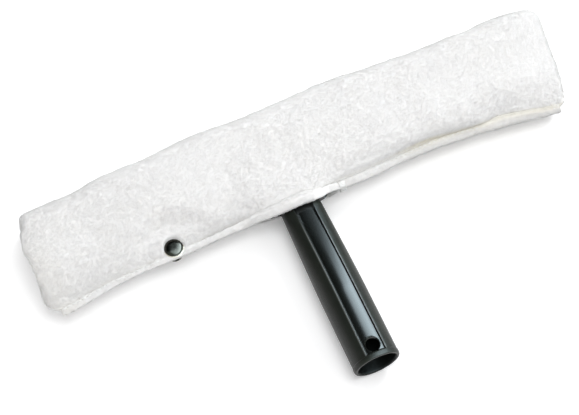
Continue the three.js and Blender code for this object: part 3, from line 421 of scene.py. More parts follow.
def handle_finish():
    """Black moulded plastic: fine matt grain outside and polished in the sunk panel, with painted shade in
    the bore, a darker tone and less specular, and a painted highlight line along the panel's edges."""
    material, tree, surface = finish("handle_plastic_fine", 0.4, 0.5)
    grain = use_group(tree, GRAIN, Grain_Scale=1900.0, Tone=HANDLE_TONE, Worn_Tone=HANDLE_WORN)
    polished, bore = attribute_value(tree, "polished"), attribute_value(tree, "bore")
    # painted shade: the bore takes the panel's darker tone and, below, less specular, so the mouth stays
    # black
    plain_tone = colour_mix(tree, math_node(tree, "MAXIMUM", polished, bore), grain["Color"], PANEL_TONE)
    shine = total(tree, 0.3, product(tree, math_node(tree, "SUBTRACT", polished, bore), 0.2))
    matt = total(tree, HANDLE_ROUGHNESS, product(tree, grain["Rub"], -0.08))
    rough = tree.nodes.new("ShaderNodeMix")
    for place, value in ((0, polished), (2, matt), (3, PANEL_ROUGHNESS)):  # its factor and its two numbers
        put(tree, value, rough.inputs[place])
    # painted highlight: the rim attribute lightens the panel's edges
    feed(
        tree, surface, Base_Color=colour_mix(tree, attribute_value(tree, "rim"), plain_tone, EDGE_HIGHLIGHT_TONE),
        Specular_IOR_Level=shine, Roughness=rough.outputs[0]
    )
    plain = math_node(tree, "SUBTRACT", 1.0, product(tree, polished, 0.93))
    relief(tree, surface, product(tree, grain["Height"], plain), 0.00012)
    return material


def bar_finish():
    """Black moulded plastic of the crossbar, plainer and a little greyer than the handle."""
    material, tree, surface = finish("bar_plastic_fine", 0.45, 0.5)
    tones = {"Tone": rgb(0.02, 0.02, 0.021), "Worn_Tone": rgb(0.05, 0.05, 0.05)}
    grain = use_group(tree, GRAIN, Grain_Scale=2300.0, **tones)
    rough = total(tree, 0.36, product(tree, grain["Rub"], 0.18))
    feed(tree, surface, Base_Color=grain["Color"], Roughness=rough)
    relief(tree, surface, grain["Height"], 0.00008)
    return material


def metal_finish(name, tone, stain, roughness, metallic=1.0):
    material, tree, surface = finish(name, roughness, 0.5)
    metal = use_group(tree, METAL, Tone=tone, Stain_Tone=stain, Smooth=roughness)
    feed(tree, surface, Base_Color=metal["Color"], Roughness=metal["Roughness"], Metallic=metallic)
    relief(tree, surface, metal["Height"], 0.00002, 0.5)
    return material


fleece, backing, sewing_thread = fleece_finish(), backing_finish(), thread_finish()
handle_plastic, bar_plastic = handle_finish(), bar_finish()
cap_enamel = metal_finish("black_nickel", rgb(0.052, 0.05, 0.044), rgb(0.042, 0.04, 0.036), 0.12)
cap_ring = metal_finish("cap_ring", rgb(0.62, 0.56, 0.47), rgb(0.45, 0.39, 0.32), 0.4, 0.3)
stud_metal = metal_finish("nickel_plate", rgb(0.62, 0.61, 0.58), rgb(0.4, 0.37, 0.32), 0.2)


# Sleeve shape
BAND_WIDTHS = [  # x and the width of the hem band there
    (-176, 5.6), (-145, 4.6), (-128, 4.2), (-110, 3.3), (-78, 3.5), (-35, 4.0), (28, 4.2), (60, 4.2),
    (83, 4.2), (98, 4.2), (114, 4.0), (130, 3.2), (145, 4.6), (160, 3.6), (176, 2.4), (206, 2.2),
]
band_width = curve_through(BAND_WIDTHS)
SNAP = np.array([-84.0, hem_y(-84.0) + 5.4])
PRESSED_TOP, PRESSED_CEILING = 17.8, 16.15  # the front lip where the press stud clamps it
PRESSED_FLOOR, PRESSED_BOTTOM = 11.4, 9.75  # the back lip there
LIP_START_X, LIP_END_X, SEAM_END_X = -162.1, 30.0, 184.6
SHELL_ROWS, SHELL_COLUMNS = 456, 98
BAR_TAPER_START, BAR_TAPER_END, BAR_TAPER = 32, BAR_HALF_LENGTH - 11, 4.5
BAR_ROOM = 6.8  # half height of the crossbar's room
SHOULDER_ROOM = 5.3  # and of the shoulder's
CLOTH = 0.9  # the least thickness of a layer
LINING_GAP = 0.03  # from the middle plane to a layer's inside
CREASE = 2.9  # from the opening's edge to the crease by the front band
OVER_BAR = 8.2  # from the middle plane to the front layer's outside over the crossbar, at least
FOLD_RADIUS = 13.5
FRONT_PASSAGE_Y, BACK_PASSAGE_Y = -14.6, -20.0  # where the handle's passage ends in each layer
SHELL_STEPS = 0.82, 0.78  # about how far apart a shell's points are, along and across
PILE_LEVELS = [(45, 0.4), (16, 0.26), (6, 0.12), (3.2, 0.09), (1.8, 0.08)]  # size and height of the clumps
SNAP_CLEARANCE = 6.7


def bar_half_width(x):
    """The crossbar's half width: straight taper from its hub to its tips."""
    share = np.clip((np.abs(x) - BAR_TAPER_START) / (BAR_TAPER_END - BAR_TAPER_START), 0, 1)
    return BAR_HALF_WIDTH - BAR_TAPER * share


def front_edge_y(x):
    return hem_y(x) - lip_bulge(x)


def back_edge_y(x):
    lens = slit_lens(x)
    return hem_y(x) + LIP_DRAW * lens**2 + ARM_DRAW * (1 - lens) ** 2 - lip_bulge(x) * smooth(18, 30, x)


def sleeve_plan(inset, rows=SHELL_ROWS, columns=SHELL_COLUMNS):
    """Plan of one fleece layer: x runs between the two ends along each row, y from the band to the fold,
    and both spacings close up towards the edges by part of a cosine."""
    even_across = np.linspace(0, 1, columns)
    across = 0.45 * even_across + 0.55 * (1 - np.cos(np.pi * even_across)) / 2
    even_along = np.linspace(0, 1, rows)
    along = 0.82 * even_along + 0.18 * (1 - np.cos(np.pi * even_along)) / 2
    start, end = open_end_x(across) + inset, sewn_end_x(across)
    x = start[None, :] + (end - start)[None, :] * along[:, None]
    low = hem_y(x) + band_width(x)
    y = low + (fold_y(x) - low) * across[None, :]
    return x, y, low, start[None, :] + 0 * x, end[None, :] + 0 * x, across[None, :] + 0 * x


def crown_dips(x, across):
    """Soft hollows in the crown: a sum of Gaussian dips."""
    dips = np.zeros_like(x)
    for along, over, depth, length, width in DIPS:
        from_middle = (along_share(x) - along) * SLEEVE_LENGTH / length
        dips += depth * np.exp(-from_middle**2 - ((across - over) * (HEM_DEPTH + FOLD_HEIGHT) / width) ** 2)
    return dips


DIPS = [  # share along, share across, depth, length, width
    (0.1, 0.48, 1.4, 26, 13), (0.4, 0.5, 1.1, 26, 13), (0.63, 0.3, 1.3, 26, 13), (0.88, 0.45, 1.6, 26, 13),
    (0.76, 0.62, 0.8, 26, 13), (0.705, 0.1, 1.6, 10, 9), (0.76, 0.12, 1.3, 9, 8), (0.81, 0.1, 1.8, 9, 9),
    (0.22, 0.14, 1.2, 22, 8), (0.5, 0.8, 0.7, 30, 10), (0.3, 0.78, 0.6, 24, 9),
]


def ends_rise(x, y, start, end):
    """Height share near the two ends: quarter circles that start blunt, fully so round the open mouth."""
    mouth = 1 - smooth(15.5, 24, np.abs(y))
    open_end = 0.68 * (mouth + (1 - mouth) * quarter(x - start, 5)) + 0.32 * quarter(x - start, 24)
    sewn_end = 0.3 * quarter(end - x, 4.5) + 0.7 * quarter(end - x, 40)
    return open_end * sewn_end


def pocket_share(x, y):
    """1 over the crossbar's room, 0 outside it, with a short slope between."""
    half = bar_half_width(x) + 0.9
    past_tip = smooth(BAR_HALF_LENGTH + 4, BAR_HALF_LENGTH + 6, x)
    return (1 - smooth(half, half + 1.8, np.abs(y))) * (1 - past_tip)


def passage_lift(x, y, back_wall):
    """How far a lip keeps from the middle plane where the handle passes: the lens, and the shoulder's
    room."""
    in_front = smooth(back_wall, back_wall - 1.2, y)
    shoulder = SHOULDER_ROOM * (1 - smooth(25.8, 27.0, np.abs(x))) * smooth(-33.5, -30.5, y)
    return np.maximum(SLIT_HALF_HEIGHT * slit_lens(x), shoulder) * in_front


def from_snap(x, y):
    return np.hypot(x - SNAP[0], y - SNAP[1])


def press(x, y, values, level, inner, outer):
    """Draws values to a level round the press stud: fully inside one radius, not at all outside the
    other."""
    return values + (level - values) * (1 - smooth(inner, outer, from_snap(x, y)))


def soft_max(a, b, reach):
    """The greater of two heights, with the corner between them rounded over the reach."""
    mix = np.clip(0.5 + (a - b) / (2 * reach), 0, 1)
    return b + (a - b) * mix + reach * mix * (1 - mix)


def fold_guard(fold, y):
    """A height that falls to the middle plane 8 mm short of the fold."""
    return MIDDLE + 9 * smooth(8, 16, fold - y)


def front_heights(x, y, low, start, end, across, fold):
    """Outer and inner height of the front layer. Outer: from the crease by the band up to the crown as a
    quarter circle, or as a parabola away from the handle, down to the fold as a quarter circle, times the
    ends' rise. Inner: the middle plane, the crossbar's room or the handle's passage, whichever is
    higher."""
    lift = passage_lift(x, y, FRONT_PASSAGE_Y)
    inner = MIDDLE + LINING_GAP + np.maximum(BAR_ROOM * pocket_share(x, y), lift)
    rise = ends_rise(x, y, start, end) * quarter(fold - y, FOLD_RADIUS)
    crown = MIDDLE + (CROWN - MIDDLE - crown_dips(x, across)) * rise
    crease = MIDDLE + SLIT_HALF_HEIGHT * slit_lens(x) + CREASE
    far = smooth(-42, -72, x) + smooth(120, 145, x)
    shallow = 1 - (1 - np.clip((y - low) / 26, 0, 1)) ** 2
    soft = far + 0.6 * (1 - far) * smooth(-60, -40, x) * (1 - smooth(45, 75, x))
    share = (1 - soft) * quarter(y - low, 15.0) + soft * shallow
    outer = crease + (np.maximum(crown, crease) - crease) * share
    outer = np.where(fold - y < 14, np.minimum(outer, crown + 0.02), outer)
    outer = np.minimum(outer, np.maximum(crown, crease))
    outer = np.minimum(outer, press(x, y, outer, PRESSED_TOP + 4.0, 5.5, 26.0))
    half = bar_half_width(x)
    past_tip = smooth(BAR_HALF_LENGTH, BAR_HALF_LENGTH + 9, x)
    over_bar = MIDDLE + OVER_BAR * (1 - smooth(half - 0.5, half + 8.5, np.abs(y))) * (1 - past_tip)
    outer = np.where(across > 0.9, outer, soft_max(outer, np.minimum(over_bar, fold_guard(fold, y)), 1.6))
    outer = press(x, y, outer, PRESSED_TOP, 6.2, 7.0)
    inner = np.minimum(inner, np.where(across > 0.9, outer, 99))
    inner = press(x, y, inner, PRESSED_CEILING, 5.9, 6.9)
    return np.maximum(outer, inner + least_thickness(across)), inner


def back_heights(x, y, low, start, end, across, fold):
    """Outer and inner height of the back layer, flat where it rests: the middle plane's height times one
    less a power of the rise."""
    lift = passage_lift(x, y, BACK_PASSAGE_Y)
    inner = MIDDLE - LINING_GAP - np.maximum(BAR_ROOM * pocket_share(x, y), lift)
    hem = 0.2 + 0.8 * quarter(y - low, 13.0)
    rise = hem * ends_rise(x, y, start, end) * quarter(fold - y, FOLD_RADIUS)
    outer = MIDDLE * (1 - np.minimum(1, np.clip(rise, 0, 1) ** 0.6 * 1.02))
    outer = np.minimum(outer, np.maximum(inner - 1.5, 0))
    outer = press(x, y, outer, PRESSED_BOTTOM, 6.2, 12.0)
    inner = np.maximum(inner, np.where(across > 0.9, outer, -99))
    inner = press(x, y, inner, PRESSED_FLOOR, 7.2, 8.2)
    return np.minimum(outer, inner - least_thickness(across)), inner


def least_thickness(across):
    """The least thickness of a layer: nothing along its two edges."""
    return np.where((across > 0.02) & (across < 0.97), CLOTH, 0.0)


def pile_relief(rows, columns, step_along, step_across, seed):
    """Height of the pile over the cloth: clumps at five sizes from 45 mm down to 1.8 mm."""
    field = np.zeros((rows, columns))
    for k, (size, height) in enumerate(PILE_LEVELS):
        field += height * noise_field(rows, columns, step_along, step_across, size, seed + k)
    return field


def wall_faces(border, outer_start, inner_start, upward):
    """Quads that join two grids' borders all round, facing out."""
    a, b = border, np.roll(border, -1)
    if upward:
        return np.stack([inner_start + a, inner_start + b, outer_start + b, outer_start + a], 1)
    return np.stack([outer_start + a, outer_start + b, inner_start + b, inner_start + a], 1)


def border_of(rows, columns):
    """Grid indices round the border, anticlockwise seen from above."""
    return np.concatenate([
        np.arange(rows - 1) * columns,
        (rows - 1) * columns + np.arange(columns - 1),
        np.arange(rows - 1, 0, -1) * columns + columns - 1,
        np.arange(columns - 1, 0, -1),
    ])


PLAIN_TUFT = 0.25  # how far the cloth between the tufts goes towards the dim tone


def set_attribute(piece, name, values):
    layer = piece.data.attributes.new(name, "FLOAT", "POINT")
    layer.data.foreach_set("value", np.asarray(values, np.float32).ravel())


def set_pile(piece, shade_and_warmth, tuft):
    set_attribute(piece, "shade_and_warmth", shade_and_warmth)
    set_attribute(piece, "tuft", tuft)


def right_arm_share(x):
    """1 along the right arm, where the crease shade is painted strongest, and 0 elsewhere."""
    return smooth(60, 95, x) * (1 - smooth(178, 198, x))


def crease_shade_and_warmth(x, y, low, across, height):
    """Painted crease shade, yellowish and darker: it falls off with the way up from the crease and is most in
    the right arm; and a faint warmer tint at the left end."""
    crease = np.exp(-((y - low + np.abs(height - height[:, :1])) / 2.0) ** 2)
    left = np.exp(-((x + 165) / 12) ** 2) * np.exp(-((across - 0.25) / 0.4) ** 2)
    return np.clip(0.75 * crease * right_arm_share(x) + 0.12 * crease + 0.1 * left, 0, 0.8)


def fleece_layer(name, front, seed):
    """One layer of the sleeve as a closed shell: outer grid with pile relief, inner grid, and a wall round
    them. Returns the piece and what the nap needs: the outer grid's points and normals and its painted crease
    shade with the left end's tint."""
    x, y, low, start, end, across = sleeve_plan(0 if front else BACK_END_INSET)
    heights, edge, beyond = (
        (front_heights, front_edge_y, np.maximum) if front else (back_heights, back_edge_y, np.minimum)
    )
    outer_z, inner_z = heights(x, y, low, start, end, across, fold_y(x))
    edged_y = y + (edge(x) - hem_y(x)) * (1 - across) ** 3
    outer = np.stack([x, edged_y, outer_z], 2)
    inner = np.stack([x, edged_y, inner_z], 2)
    along_way, across_way = np.gradient(outer, axis=0), np.gradient(outer, axis=1)
    normal = unit(np.cross(along_way, across_way)) * (1 if front else -1)
    depth = pile_relief(SHELL_ROWS, SHELL_COLUMNS, *SHELL_STEPS, seed) * smooth(6.2, 8.0, from_snap(x, y))
    outer = outer + normal * depth[..., None]
    outer[..., 2] = beyond(np.maximum(outer[..., 2], 0.3), inner[..., 2])
    count = SHELL_ROWS * SHELL_COLUMNS
    skin = grid_faces(SHELL_ROWS, SHELL_COLUMNS)
    lining = grid_faces(SHELL_ROWS, SHELL_COLUMNS, start=count)
    faces = np.vstack([
        skin if front else skin[:, ::-1],
        lining[:, ::-1] if front else lining,
        wall_faces(border_of(SHELL_ROWS, SHELL_COLUMNS), 0, count, front),
    ])
    piece = mesh_piece(name, np.vstack([outer.reshape(-1, 3), inner.reshape(-1, 3)]), faces, fleece)
    piece.data.materials.append(backing)
    slots = np.zeros(len(piece.data.polygons), np.int32)
    slots[len(skin):2 * len(skin)] = 1
    piece.data.polygons.foreach_set("material_index", slots)
    shade_and_warmth = crease_shade_and_warmth(x, y, low, across, outer_z)
    set_pile(piece, np.concatenate([shade_and_warmth.ravel(), np.zeros(count)]), np.full(2 * count, PLAIN_TUFT))
    return piece, (outer, normal, shade_and_warmth)


NAP_SPREAD, NAP_HEIGHT = 0.2, 0.45
TUFT_POINTS = 7
TUFT_FACES = np.array([
    [0, 1, 4], [0, 4, 3], [1, 2, 5], [1, 5, 4], [2, 0, 3], [2, 3, 5], [3, 4, 6], [4, 5, 6], [5, 3, 6],
])


def nap_tufts(name, surface, density, seed, keep, pieces=1):
    """Short leaning tufts over a surface grid: each a three-sided spike of two stages, sunk a little at its
    foot. A tuft's place is bilinear in a cell picked by area, its lean follows a smooth lay of the pile
    with scatter, and it shades as the pile under it does: its normals are the surface's, spread a little to
    its own sides."""
    points, normals, shade_and_warmth = surface
    source = np.random.default_rng(seed)
    first_side = points[1:, :-1] - points[:-1, :-1]
    second_side = points[:-1, 1:] - points[:-1, :-1]
    area = np.linalg.norm(np.cross(first_side, second_side), axis=2)
    rows, columns = area.shape
    count = int(area.sum() * density)
    cell = np.searchsorted(np.cumsum(area.ravel()) / area.sum(), source.random(count))
    i, j = np.divmod(np.clip(cell, 0, rows * columns - 1), columns)
    u, v = source.random((2, count, 1))

    def sample(grid):
        near = grid[i, j] * (1 - u) + grid[i + 1, j] * u
        return near * (1 - v) + (grid[i, j + 1] * (1 - u) + grid[i + 1, j + 1] * u) * v

    place = sample(points)
    kept = keep(place)
    place, up, tone = place[kept], unit(sample(normals)[kept]), sample(shade_and_warmth[..., None])[kept, 0]
    lay = noise_field(rows + 1, columns + 1, 0.8, 0.8, 18, seed + 50)[i, j][kept]
    count = len(place)

    def draw(low, high):
        return source.uniform(low, high, (count, 1))

    turn = 1.2 * lay + source.normal(0, 0.9, count) + 2.6
    lean = np.stack([np.cos(turn), np.sin(turn), np.zeros(count)], 1)
    lean = unit(lean - up * np.sum(lean * up, 1, keepdims=True))
    side = np.cross(up, lean)
    tall, wide = NAP_HEIGHT * draw(0.6, 1.25), draw(0.34, 0.56)
    reach = draw(0.35, 0.95) * tall
    corners = draw(0, 2 * np.pi) + np.arange(3) * 2 * np.pi / 3
    ring = np.cos(corners)[..., None] * lean[:, None] + np.sin(corners)[..., None] * side[:, None]
    foot = (place - 0.3 * up)[:, None] + ring * wide[..., None]
    waist = (place + 0.5 * tall * up + 0.3 * reach * lean)[:, None] + ring * (0.8 * wide)[..., None]
    tip = (place + 0.92 * tall * up + reach * lean)[:, None]
    tufts = np.concatenate([foot, waist, tip], 1)
    tufts[..., 2] = np.maximum(tufts[..., 2], 0.05)
    soft = unit(up[:, None] + NAP_SPREAD * np.concatenate([ring, ring, 0 * ring[:, :1]], 1))
    made = []
    for k, part in enumerate(np.array_split(np.argsort(place[:, 0]), pieces)):
        faces = (np.arange(len(part))[:, None, None] * TUFT_POINTS + TUFT_FACES).reshape(-1, 3)
        label = name if pieces == 1 else f"{name}_{k + 1}"
        piece = mesh_piece(label, tufts[part].reshape(-1, 3), faces, fleece)
        piece.data.normals_split_custom_set_from_vertices(soft[part].reshape(-1, 3))
        tuft = np.repeat(source.random(len(part)) ** 2, TUFT_POINTS)
        set_pile(piece, np.repeat(tone[part], TUFT_POINTS), tuft)
        made.append(piece)
    return made


# Tubes and turned shapes
ASLANT = np.array([0.31, 0.17, 0.93])  # a direction that no thread runs along
THREAD_RADIUS, THREAD_SIDES, THREAD_TAPER = 0.28, 6, 0.45


def ring_turns(sides):
    return np.arange(sides) * 2 * np.pi / sides


def triangles(quads):
    return np.vstack([quads[:, [0, 1, 2]], quads[:, [0, 2, 3]]])


def facing_out(points, faces):
    """The same triangles, all turned round if together they hold a negative volume."""
    a, b, c = points[faces[:, 0]], points[faces[:, 1]], points[faces[:, 2]]
    return faces if np.sum(a * np.cross(b, c)) > 0 else faces[:, ::-1]


def closed_tube(sections):
    """Points and triangles of a tube from its sections, rings of equal length, closed by a fan at either
    end."""
    rows, columns = sections.shape[:2]
    points = np.vstack([sections.reshape(-1, 3), sections[0].mean(0), sections[-1].mean(0)])
    j = np.arange(columns)
    j2 = (j + 1) % columns
    last = (rows - 1) * columns
    first_fan = np.stack([np.full(columns, rows * columns), j, j2], 1)
    last_fan = np.stack([np.full(columns, rows * columns + 1), last + j2, last + j], 1)
    side = triangles(grid_faces(rows, columns, closed_columns=True))
    return points, facing_out(points - points.mean(0), np.vstack([side, first_fan, last_fan])[:, ::-1])


def thread_tubes(name, x, y, z, radius=THREAD_RADIUS):
    """Many short tubes of thread at once, along paths whose coordinates are arrays of tubes x points. A
    ring stands square to each path point."""
    paths = np.stack(np.broadcast_arrays(x, y, z), 2)
    along = unit(np.gradient(paths, axis=1))
    side = unit(np.cross(along, ASLANT))
    up = np.cross(side, along)
    turn = ring_turns(THREAD_SIDES)[:, None]
    count, steps = paths.shape[:2]
    taper = np.ones((steps, 1, 1))
    taper[[0, -1]] = THREAD_TAPER
    around = np.cos(turn) * side[:, :, None] + np.sin(turn) * up[:, :, None]
    rings = paths[:, :, None] + around * radius * taper
    one_faces = closed_tube(rings[0])[1]
    points = np.concatenate([rings.reshape(count, steps * THREAD_SIDES, 3), paths[:, :1], paths[:, -1:]], 1)
    faces = (np.arange(count)[:, None, None] * points.shape[1] + one_faces).reshape(-1, 3)
    return mesh_piece(name, points.reshape(-1, 3), faces, sewing_thread)


def ring_normals(sections):
    """Unit normals of a tube's sections, pointing away from each section's middle."""
    around = np.roll(sections, -1, 1) - np.roll(sections, 1, 1)
    normal = unit(np.cross(np.gradient(sections, axis=0), around))
    away = sections - sections.mean(1, keepdims=True)
    return normal * np.where(np.sum(normal * away, 2, keepdims=True) < 0, -1, 1)


def turned(name, profile, x, y, material, sides=72, smooth_angle=40):
    """A lathe shape about a vertical axis: profile is radius and height from one pole to the other."""
    profile = np.array(profile, float)
    turn = ring_turns(sides)
    r, z = profile[1:-1].T[..., None]
    sections = np.stack([x + r * np.cos(turn), y + r * np.sin(turn), z + 0 * turn], 2)
    points, faces = closed_tube(sections)
    points[-2:, 2] = profile[[0, -1], 1]
    return mesh_piece(name, points, faces, material, smooth_angle)


def quadratic(a, control, b, steps=12):
    """Points of the curve from a to b that leaves and arrives along the lines to the control point."""
    t = np.linspace(0, 1, steps)[:, None]
    return np.array(a) * (1 - t) ** 2 + 2 * np.array(control) * t * (1 - t) + np.array(b) * t**2


def rounded_profile(corners, radius, steps):
    """A polyline with its inner corners rounded by quadratic arcs that start radius before each corner, or
    at 0.45 of a side that is short."""
    corners = np.array(corners, float)
    runs = [corners[:1]]
    for before, corner, after in zip(corners[:-2], corners[1:-1], corners[2:]):
        ends = []
        for side in (before - corner, after - corner):
            length = np.linalg.norm(side)
            ends.append(corner + side / length * min(radius, 0.45 * length))
        runs.append(quadratic(ends[0], corner, ends[1], steps + 1))
    return np.vstack(runs + [corners[-1:]])


# Sleeve pieces
NAP_DENSITY = 2.0  # tufts to a square millimetre
HEM_STEP, HEM_SIDES, HEM_POWER = 0.85, 26, 2 / 2.3
HEM_OVERLAP = 2.2  # how much wider the hem is than its band
LIP_GAP = 0.15  # from the middle plane to a lip's hem
FRONT_HEM, BACK_HEM = 3.5, 3.9  # their thickness
FRONT_THINNING = 1.0  # how much thinner the front hem is to the right of the grip
SEAM_FROM_X, SEAM_TOP = 28.3, 18.4
SEAM_BOTTOM, SEAM_RISE = 11.9, 2.2  # its rise is at the slit's end
STITCH_LENGTH, STITCH_PITCH, STITCH_INSET = 2.6, 3.3, 0.9
SNAP_GAP = 6.8  # from the press stud's middle to the stitches beside it


def clear_of_snap(points):
    return from_snap(points[:, 0], points[:, 1]) > SNAP_CLEARANCE


front_fleece, front_surface = fleece_layer("front_fleece", True, 11)
back_fleece, back_surface = fleece_layer("back_fleece", False, 31)
front_nap = nap_tufts("front_nap", front_surface, NAP_DENSITY, 101, clear_of_snap, 4)
back_nap = nap_tufts("back_nap", back_surface, 0.6 * NAP_DENSITY, 131, clear_of_snap, 2)


def hem_band(name, from_x, to_x, low_at, high_at, edge_at, seed, ends, pressed=None, outward=1):
    """A rolled hem with pile relief, carried along the band's own width between a low and a high edge. Its
    section is a superellipse of power 2.3 whose outward half thins towards the edge by 0.3 of the cosine.
    The two ends are rounded over the lengths in ends, and pressed gives the heights and the radii of the
    press stud's clamp."""
    rows = int((to_x - from_x) / HEM_STEP)
    x = np.linspace(from_x, to_x, rows)[:, None]
    turn = ring_turns(HEM_SIDES)[None, :]
    cosine, sine = signed_power(np.cos(turn), HEM_POWER), signed_power(np.sin(turn), HEM_POWER)
    low, high = low_at(x), high_at(x)
    tip = quarter(x - from_x + 0.4, ends[0]) * quarter(to_x - x + 0.4, ends[1])
    y = edge_at(x) + (band_width(x) + HEM_OVERLAP) / 2 * (1 + cosine * (0.6 + 0.4 * tip))
    slant = np.where(sine * outward > 0, 0.7 + 0.3 * cosine, 1.0)
    z = (low + high) / 2 + (high - low) / 2 * sine * tip * slant
    sections = np.stack([x + 0 * y, y, z], 2)
    normal = ring_normals(sections)
    depth = 0.9 * pile_relief(rows, HEM_SIDES, HEM_STEP, 0.75, seed)
    depth[:, -1] = (depth[:, 0] + depth[:, -2]) / 2
    sections = sections + normal * depth[..., None]
    if pressed:
        squeezed = np.clip(sections[..., 2], *pressed[:2])
        sections[..., 2] = press(sections[..., 0], sections[..., 1], sections[..., 2], squeezed, *pressed[2:])
    sections[..., 2] = np.maximum(sections[..., 2], 0.25)
    points, faces = closed_tube(sections)
    piece = mesh_piece(name, points, faces, fleece)
    # painted shade: the band's inner half, next to the crease, takes the yellowish crease shade along the
    # right arm; a faint warmer tint at the left end
    inside = smooth(0.2, 1.0, (y - edge_at(x)) / band_width(x))
    shade_and_warmth = (0.08 + 0.42 * inside) * right_arm_share(x) + 0.15 * np.exp(-((x + 158) / 9) ** 2)
    shade_and_warmth = np.clip(shade_and_warmth, 0, 1)
    set_pile(piece, np.concatenate([shade_and_warmth.ravel(), shade_and_warmth[[0, -1], 0]]), np.full(len(points), PLAIN_TUFT))
    return piece, [np.concatenate([part, part[:, :1]], 1) for part in (sections, normal, shade_and_warmth)]


def front_low(x):
    return MIDDLE + LIP_GAP + SLIT_HALF_HEIGHT * slit_lens(x)


def front_high(x):
    return front_low(x) + FRONT_HEM - FRONT_THINNING * smooth(8, 24, x)


def back_high(x):
    return MIDDLE - LIP_GAP - SLIT_HALF_HEIGHT * slit_lens(x)


def back_low(x):
    return np.maximum(0, back_high(x) - BACK_HEM)


def seam_low(x):
    return SEAM_BOTTOM + SEAM_RISE * (1 - smooth(36, 80, x))


def flat(height):
    """A height that stays the same along x."""
    return lambda x: height + 0 * x


front_hem, front_hem_surface = hem_band(
    "front_hem", LIP_START_X, LIP_END_X, front_low, front_high, front_edge_y, 61, (2.5, 0.6),
    (PRESSED_CEILING, PRESSED_TOP, 6.2, 8.0)
)
back_hem, back_hem_surface = hem_band(
    "back_hem", LIP_START_X, LIP_END_X, back_low, back_high, back_edge_y, 62, (2.5, 0.6),
    (PRESSED_BOTTOM, PRESSED_FLOOR, 7.2, 8.6), -1
)
seam_hem, seam_hem_surface = hem_band(
    "seam_hem", SEAM_FROM_X, SEAM_END_X, seam_low, flat(SEAM_TOP), front_edge_y, 63, (0.6, 1.4)
)


def off_the_stitches(edge_at):
    """Leaves bare the line where the stitches lie, the stud's seat, and the hem where it passes the
    grip."""
    def keep(points):
        x, y, z = points.T
        line = edge_at(x) + band_width(x) - STITCH_INSET
        by_the_grip = (x > 8) & (x < 20) & (np.abs(z - MIDDLE) < 13.5)
        return (np.abs(y - line) > 0.45) & clear_of_snap(points) & ~by_the_grip
    return keep


(front_hem_nap,) = nap_tufts(
    "front_hem_nap", front_hem_surface, NAP_DENSITY, 161, off_the_stitches(front_edge_y)
)
(back_hem_nap,) = nap_tufts(
    "back_hem_nap", back_hem_surface, NAP_DENSITY, 162, off_the_stitches(back_edge_y)
)
(seam_hem_nap,) = nap_tufts(
    "seam_hem_nap", seam_hem_surface, NAP_DENSITY, 163, off_the_stitches(front_edge_y)
)


def hem_stitches(name, from_x, to_x, height_at, edge_at, above=1):
    """A row of lock stitches near the band's inner edge, each a low arch."""
    starts = np.arange(from_x, to_x - STITCH_LENGTH, STITCH_PITCH)[:, None]
    t = np.linspace(0, 1, 7)[None, :]
    x = starts + STITCH_LENGTH * t
    y = edge_at(x) + band_width(x) - STITCH_INSET + 0.12 * np.sin(starts * 5.1) * (2 * t - 1)
    return thread_tubes(name, x, y, height_at(x) + above * (0.42 * np.sin(np.pi * t) - 0.72))


left_row = LIP_START_X + 1, SNAP[0] - SNAP_GAP
right_start = SNAP[0] + SNAP_GAP
front_stitches_left = hem_stitches("front_stitches_left", *left_row, front_high, front_edge_y)
front_stitches_right = hem_stitches(
    "front_stitches_right", right_start, LIP_END_X - 1, front_high, front_edge_y
)
seam_stitches = hem_stitches("seam_stitches", 33.5, SEAM_END_X - 2, flat(SEAM_TOP - 0.4), front_edge_y)
back_stitches_left = hem_stitches("back_stitches_left", *left_row, back_low, back_edge_y, -1)
back_stitches_right = hem_stitches("back_stitches_right", right_start, -32, back_low, back_edge_y, -1)


def closing_stitches(name):
    """Overcast stitches that close the sewn end: each leans over the rim from one layer to the other."""
    t = np.linspace(0, 1, 9)[None, :]
    across = np.arange(0.04, 0.985, 0.045)[:, None] + 0.012 * (2 * t - 1)
    x = sewn_end_x(across) + 0.9 * np.sin(np.pi * t) - 0.55
    low = hem_y(x) + band_width(x)
    return thread_tubes(name, x, low + (fold_y(x) - low) * across, MIDDLE + 4.2 * np.cos(np.pi * t))


def satin_tack(name):
    """The bar tack at the slit's end: closed turns of thread side by side round the hem band."""
    centres = 28.6 + np.arange(8)[:, None] * 0.5
    turn = np.linspace(0, 2 * np.pi, 33)[None, :]
    half = band_width(centres) / 2
    y = front_edge_y(centres) + half + 0.3 + (half + 0.8) * signed_power(np.cos(turn), 0.5)
    z = MIDDLE + 3.75 * signed_power(np.sin(turn), 0.5)
    return thread_tubes(name, centres + 0.12 * np.sin(2 * turn), y, z, 0.27)


end_stitches, tack = closing_stitches("end_stitches"), satin_tack("satin_tack")


# Handle
TOP_Y, ROOT_Y, RIM_Y = -20.3, -29.0, -144.0  # its hidden end, the grip's root and the open end
PANEL_END_Y, COLLAR_Y = RIM_Y + 3.7, RIM_Y + 2.9
PANEL_DEPTH, HOLE_Y = 0.9, RIM_Y + 8.6
ROOT_SIZE = (13.1, 9.8, 2.5)  # half width, half thickness and squareness of the oval root
END_SIZE = (14.7, 14.7, 2.0)  # and of the round end
COLLAR_RADIUS = 15.0
RIM_RINGS = 18  # the rings of collar and rim after the first, before the bore


def grip_size(y):
    """Half width, half thickness and squareness of the grip at y."""
    share = np.clip((ROOT_Y - y) / (ROOT_Y - (COLLAR_Y + 0.5)), 0, 1)
    swell = 1 - np.clip(1 - share / 0.6, 0, 1) ** 1.3
    return [root + (end - root) * swell for root, end in zip(ROOT_SIZE, END_SIZE)]


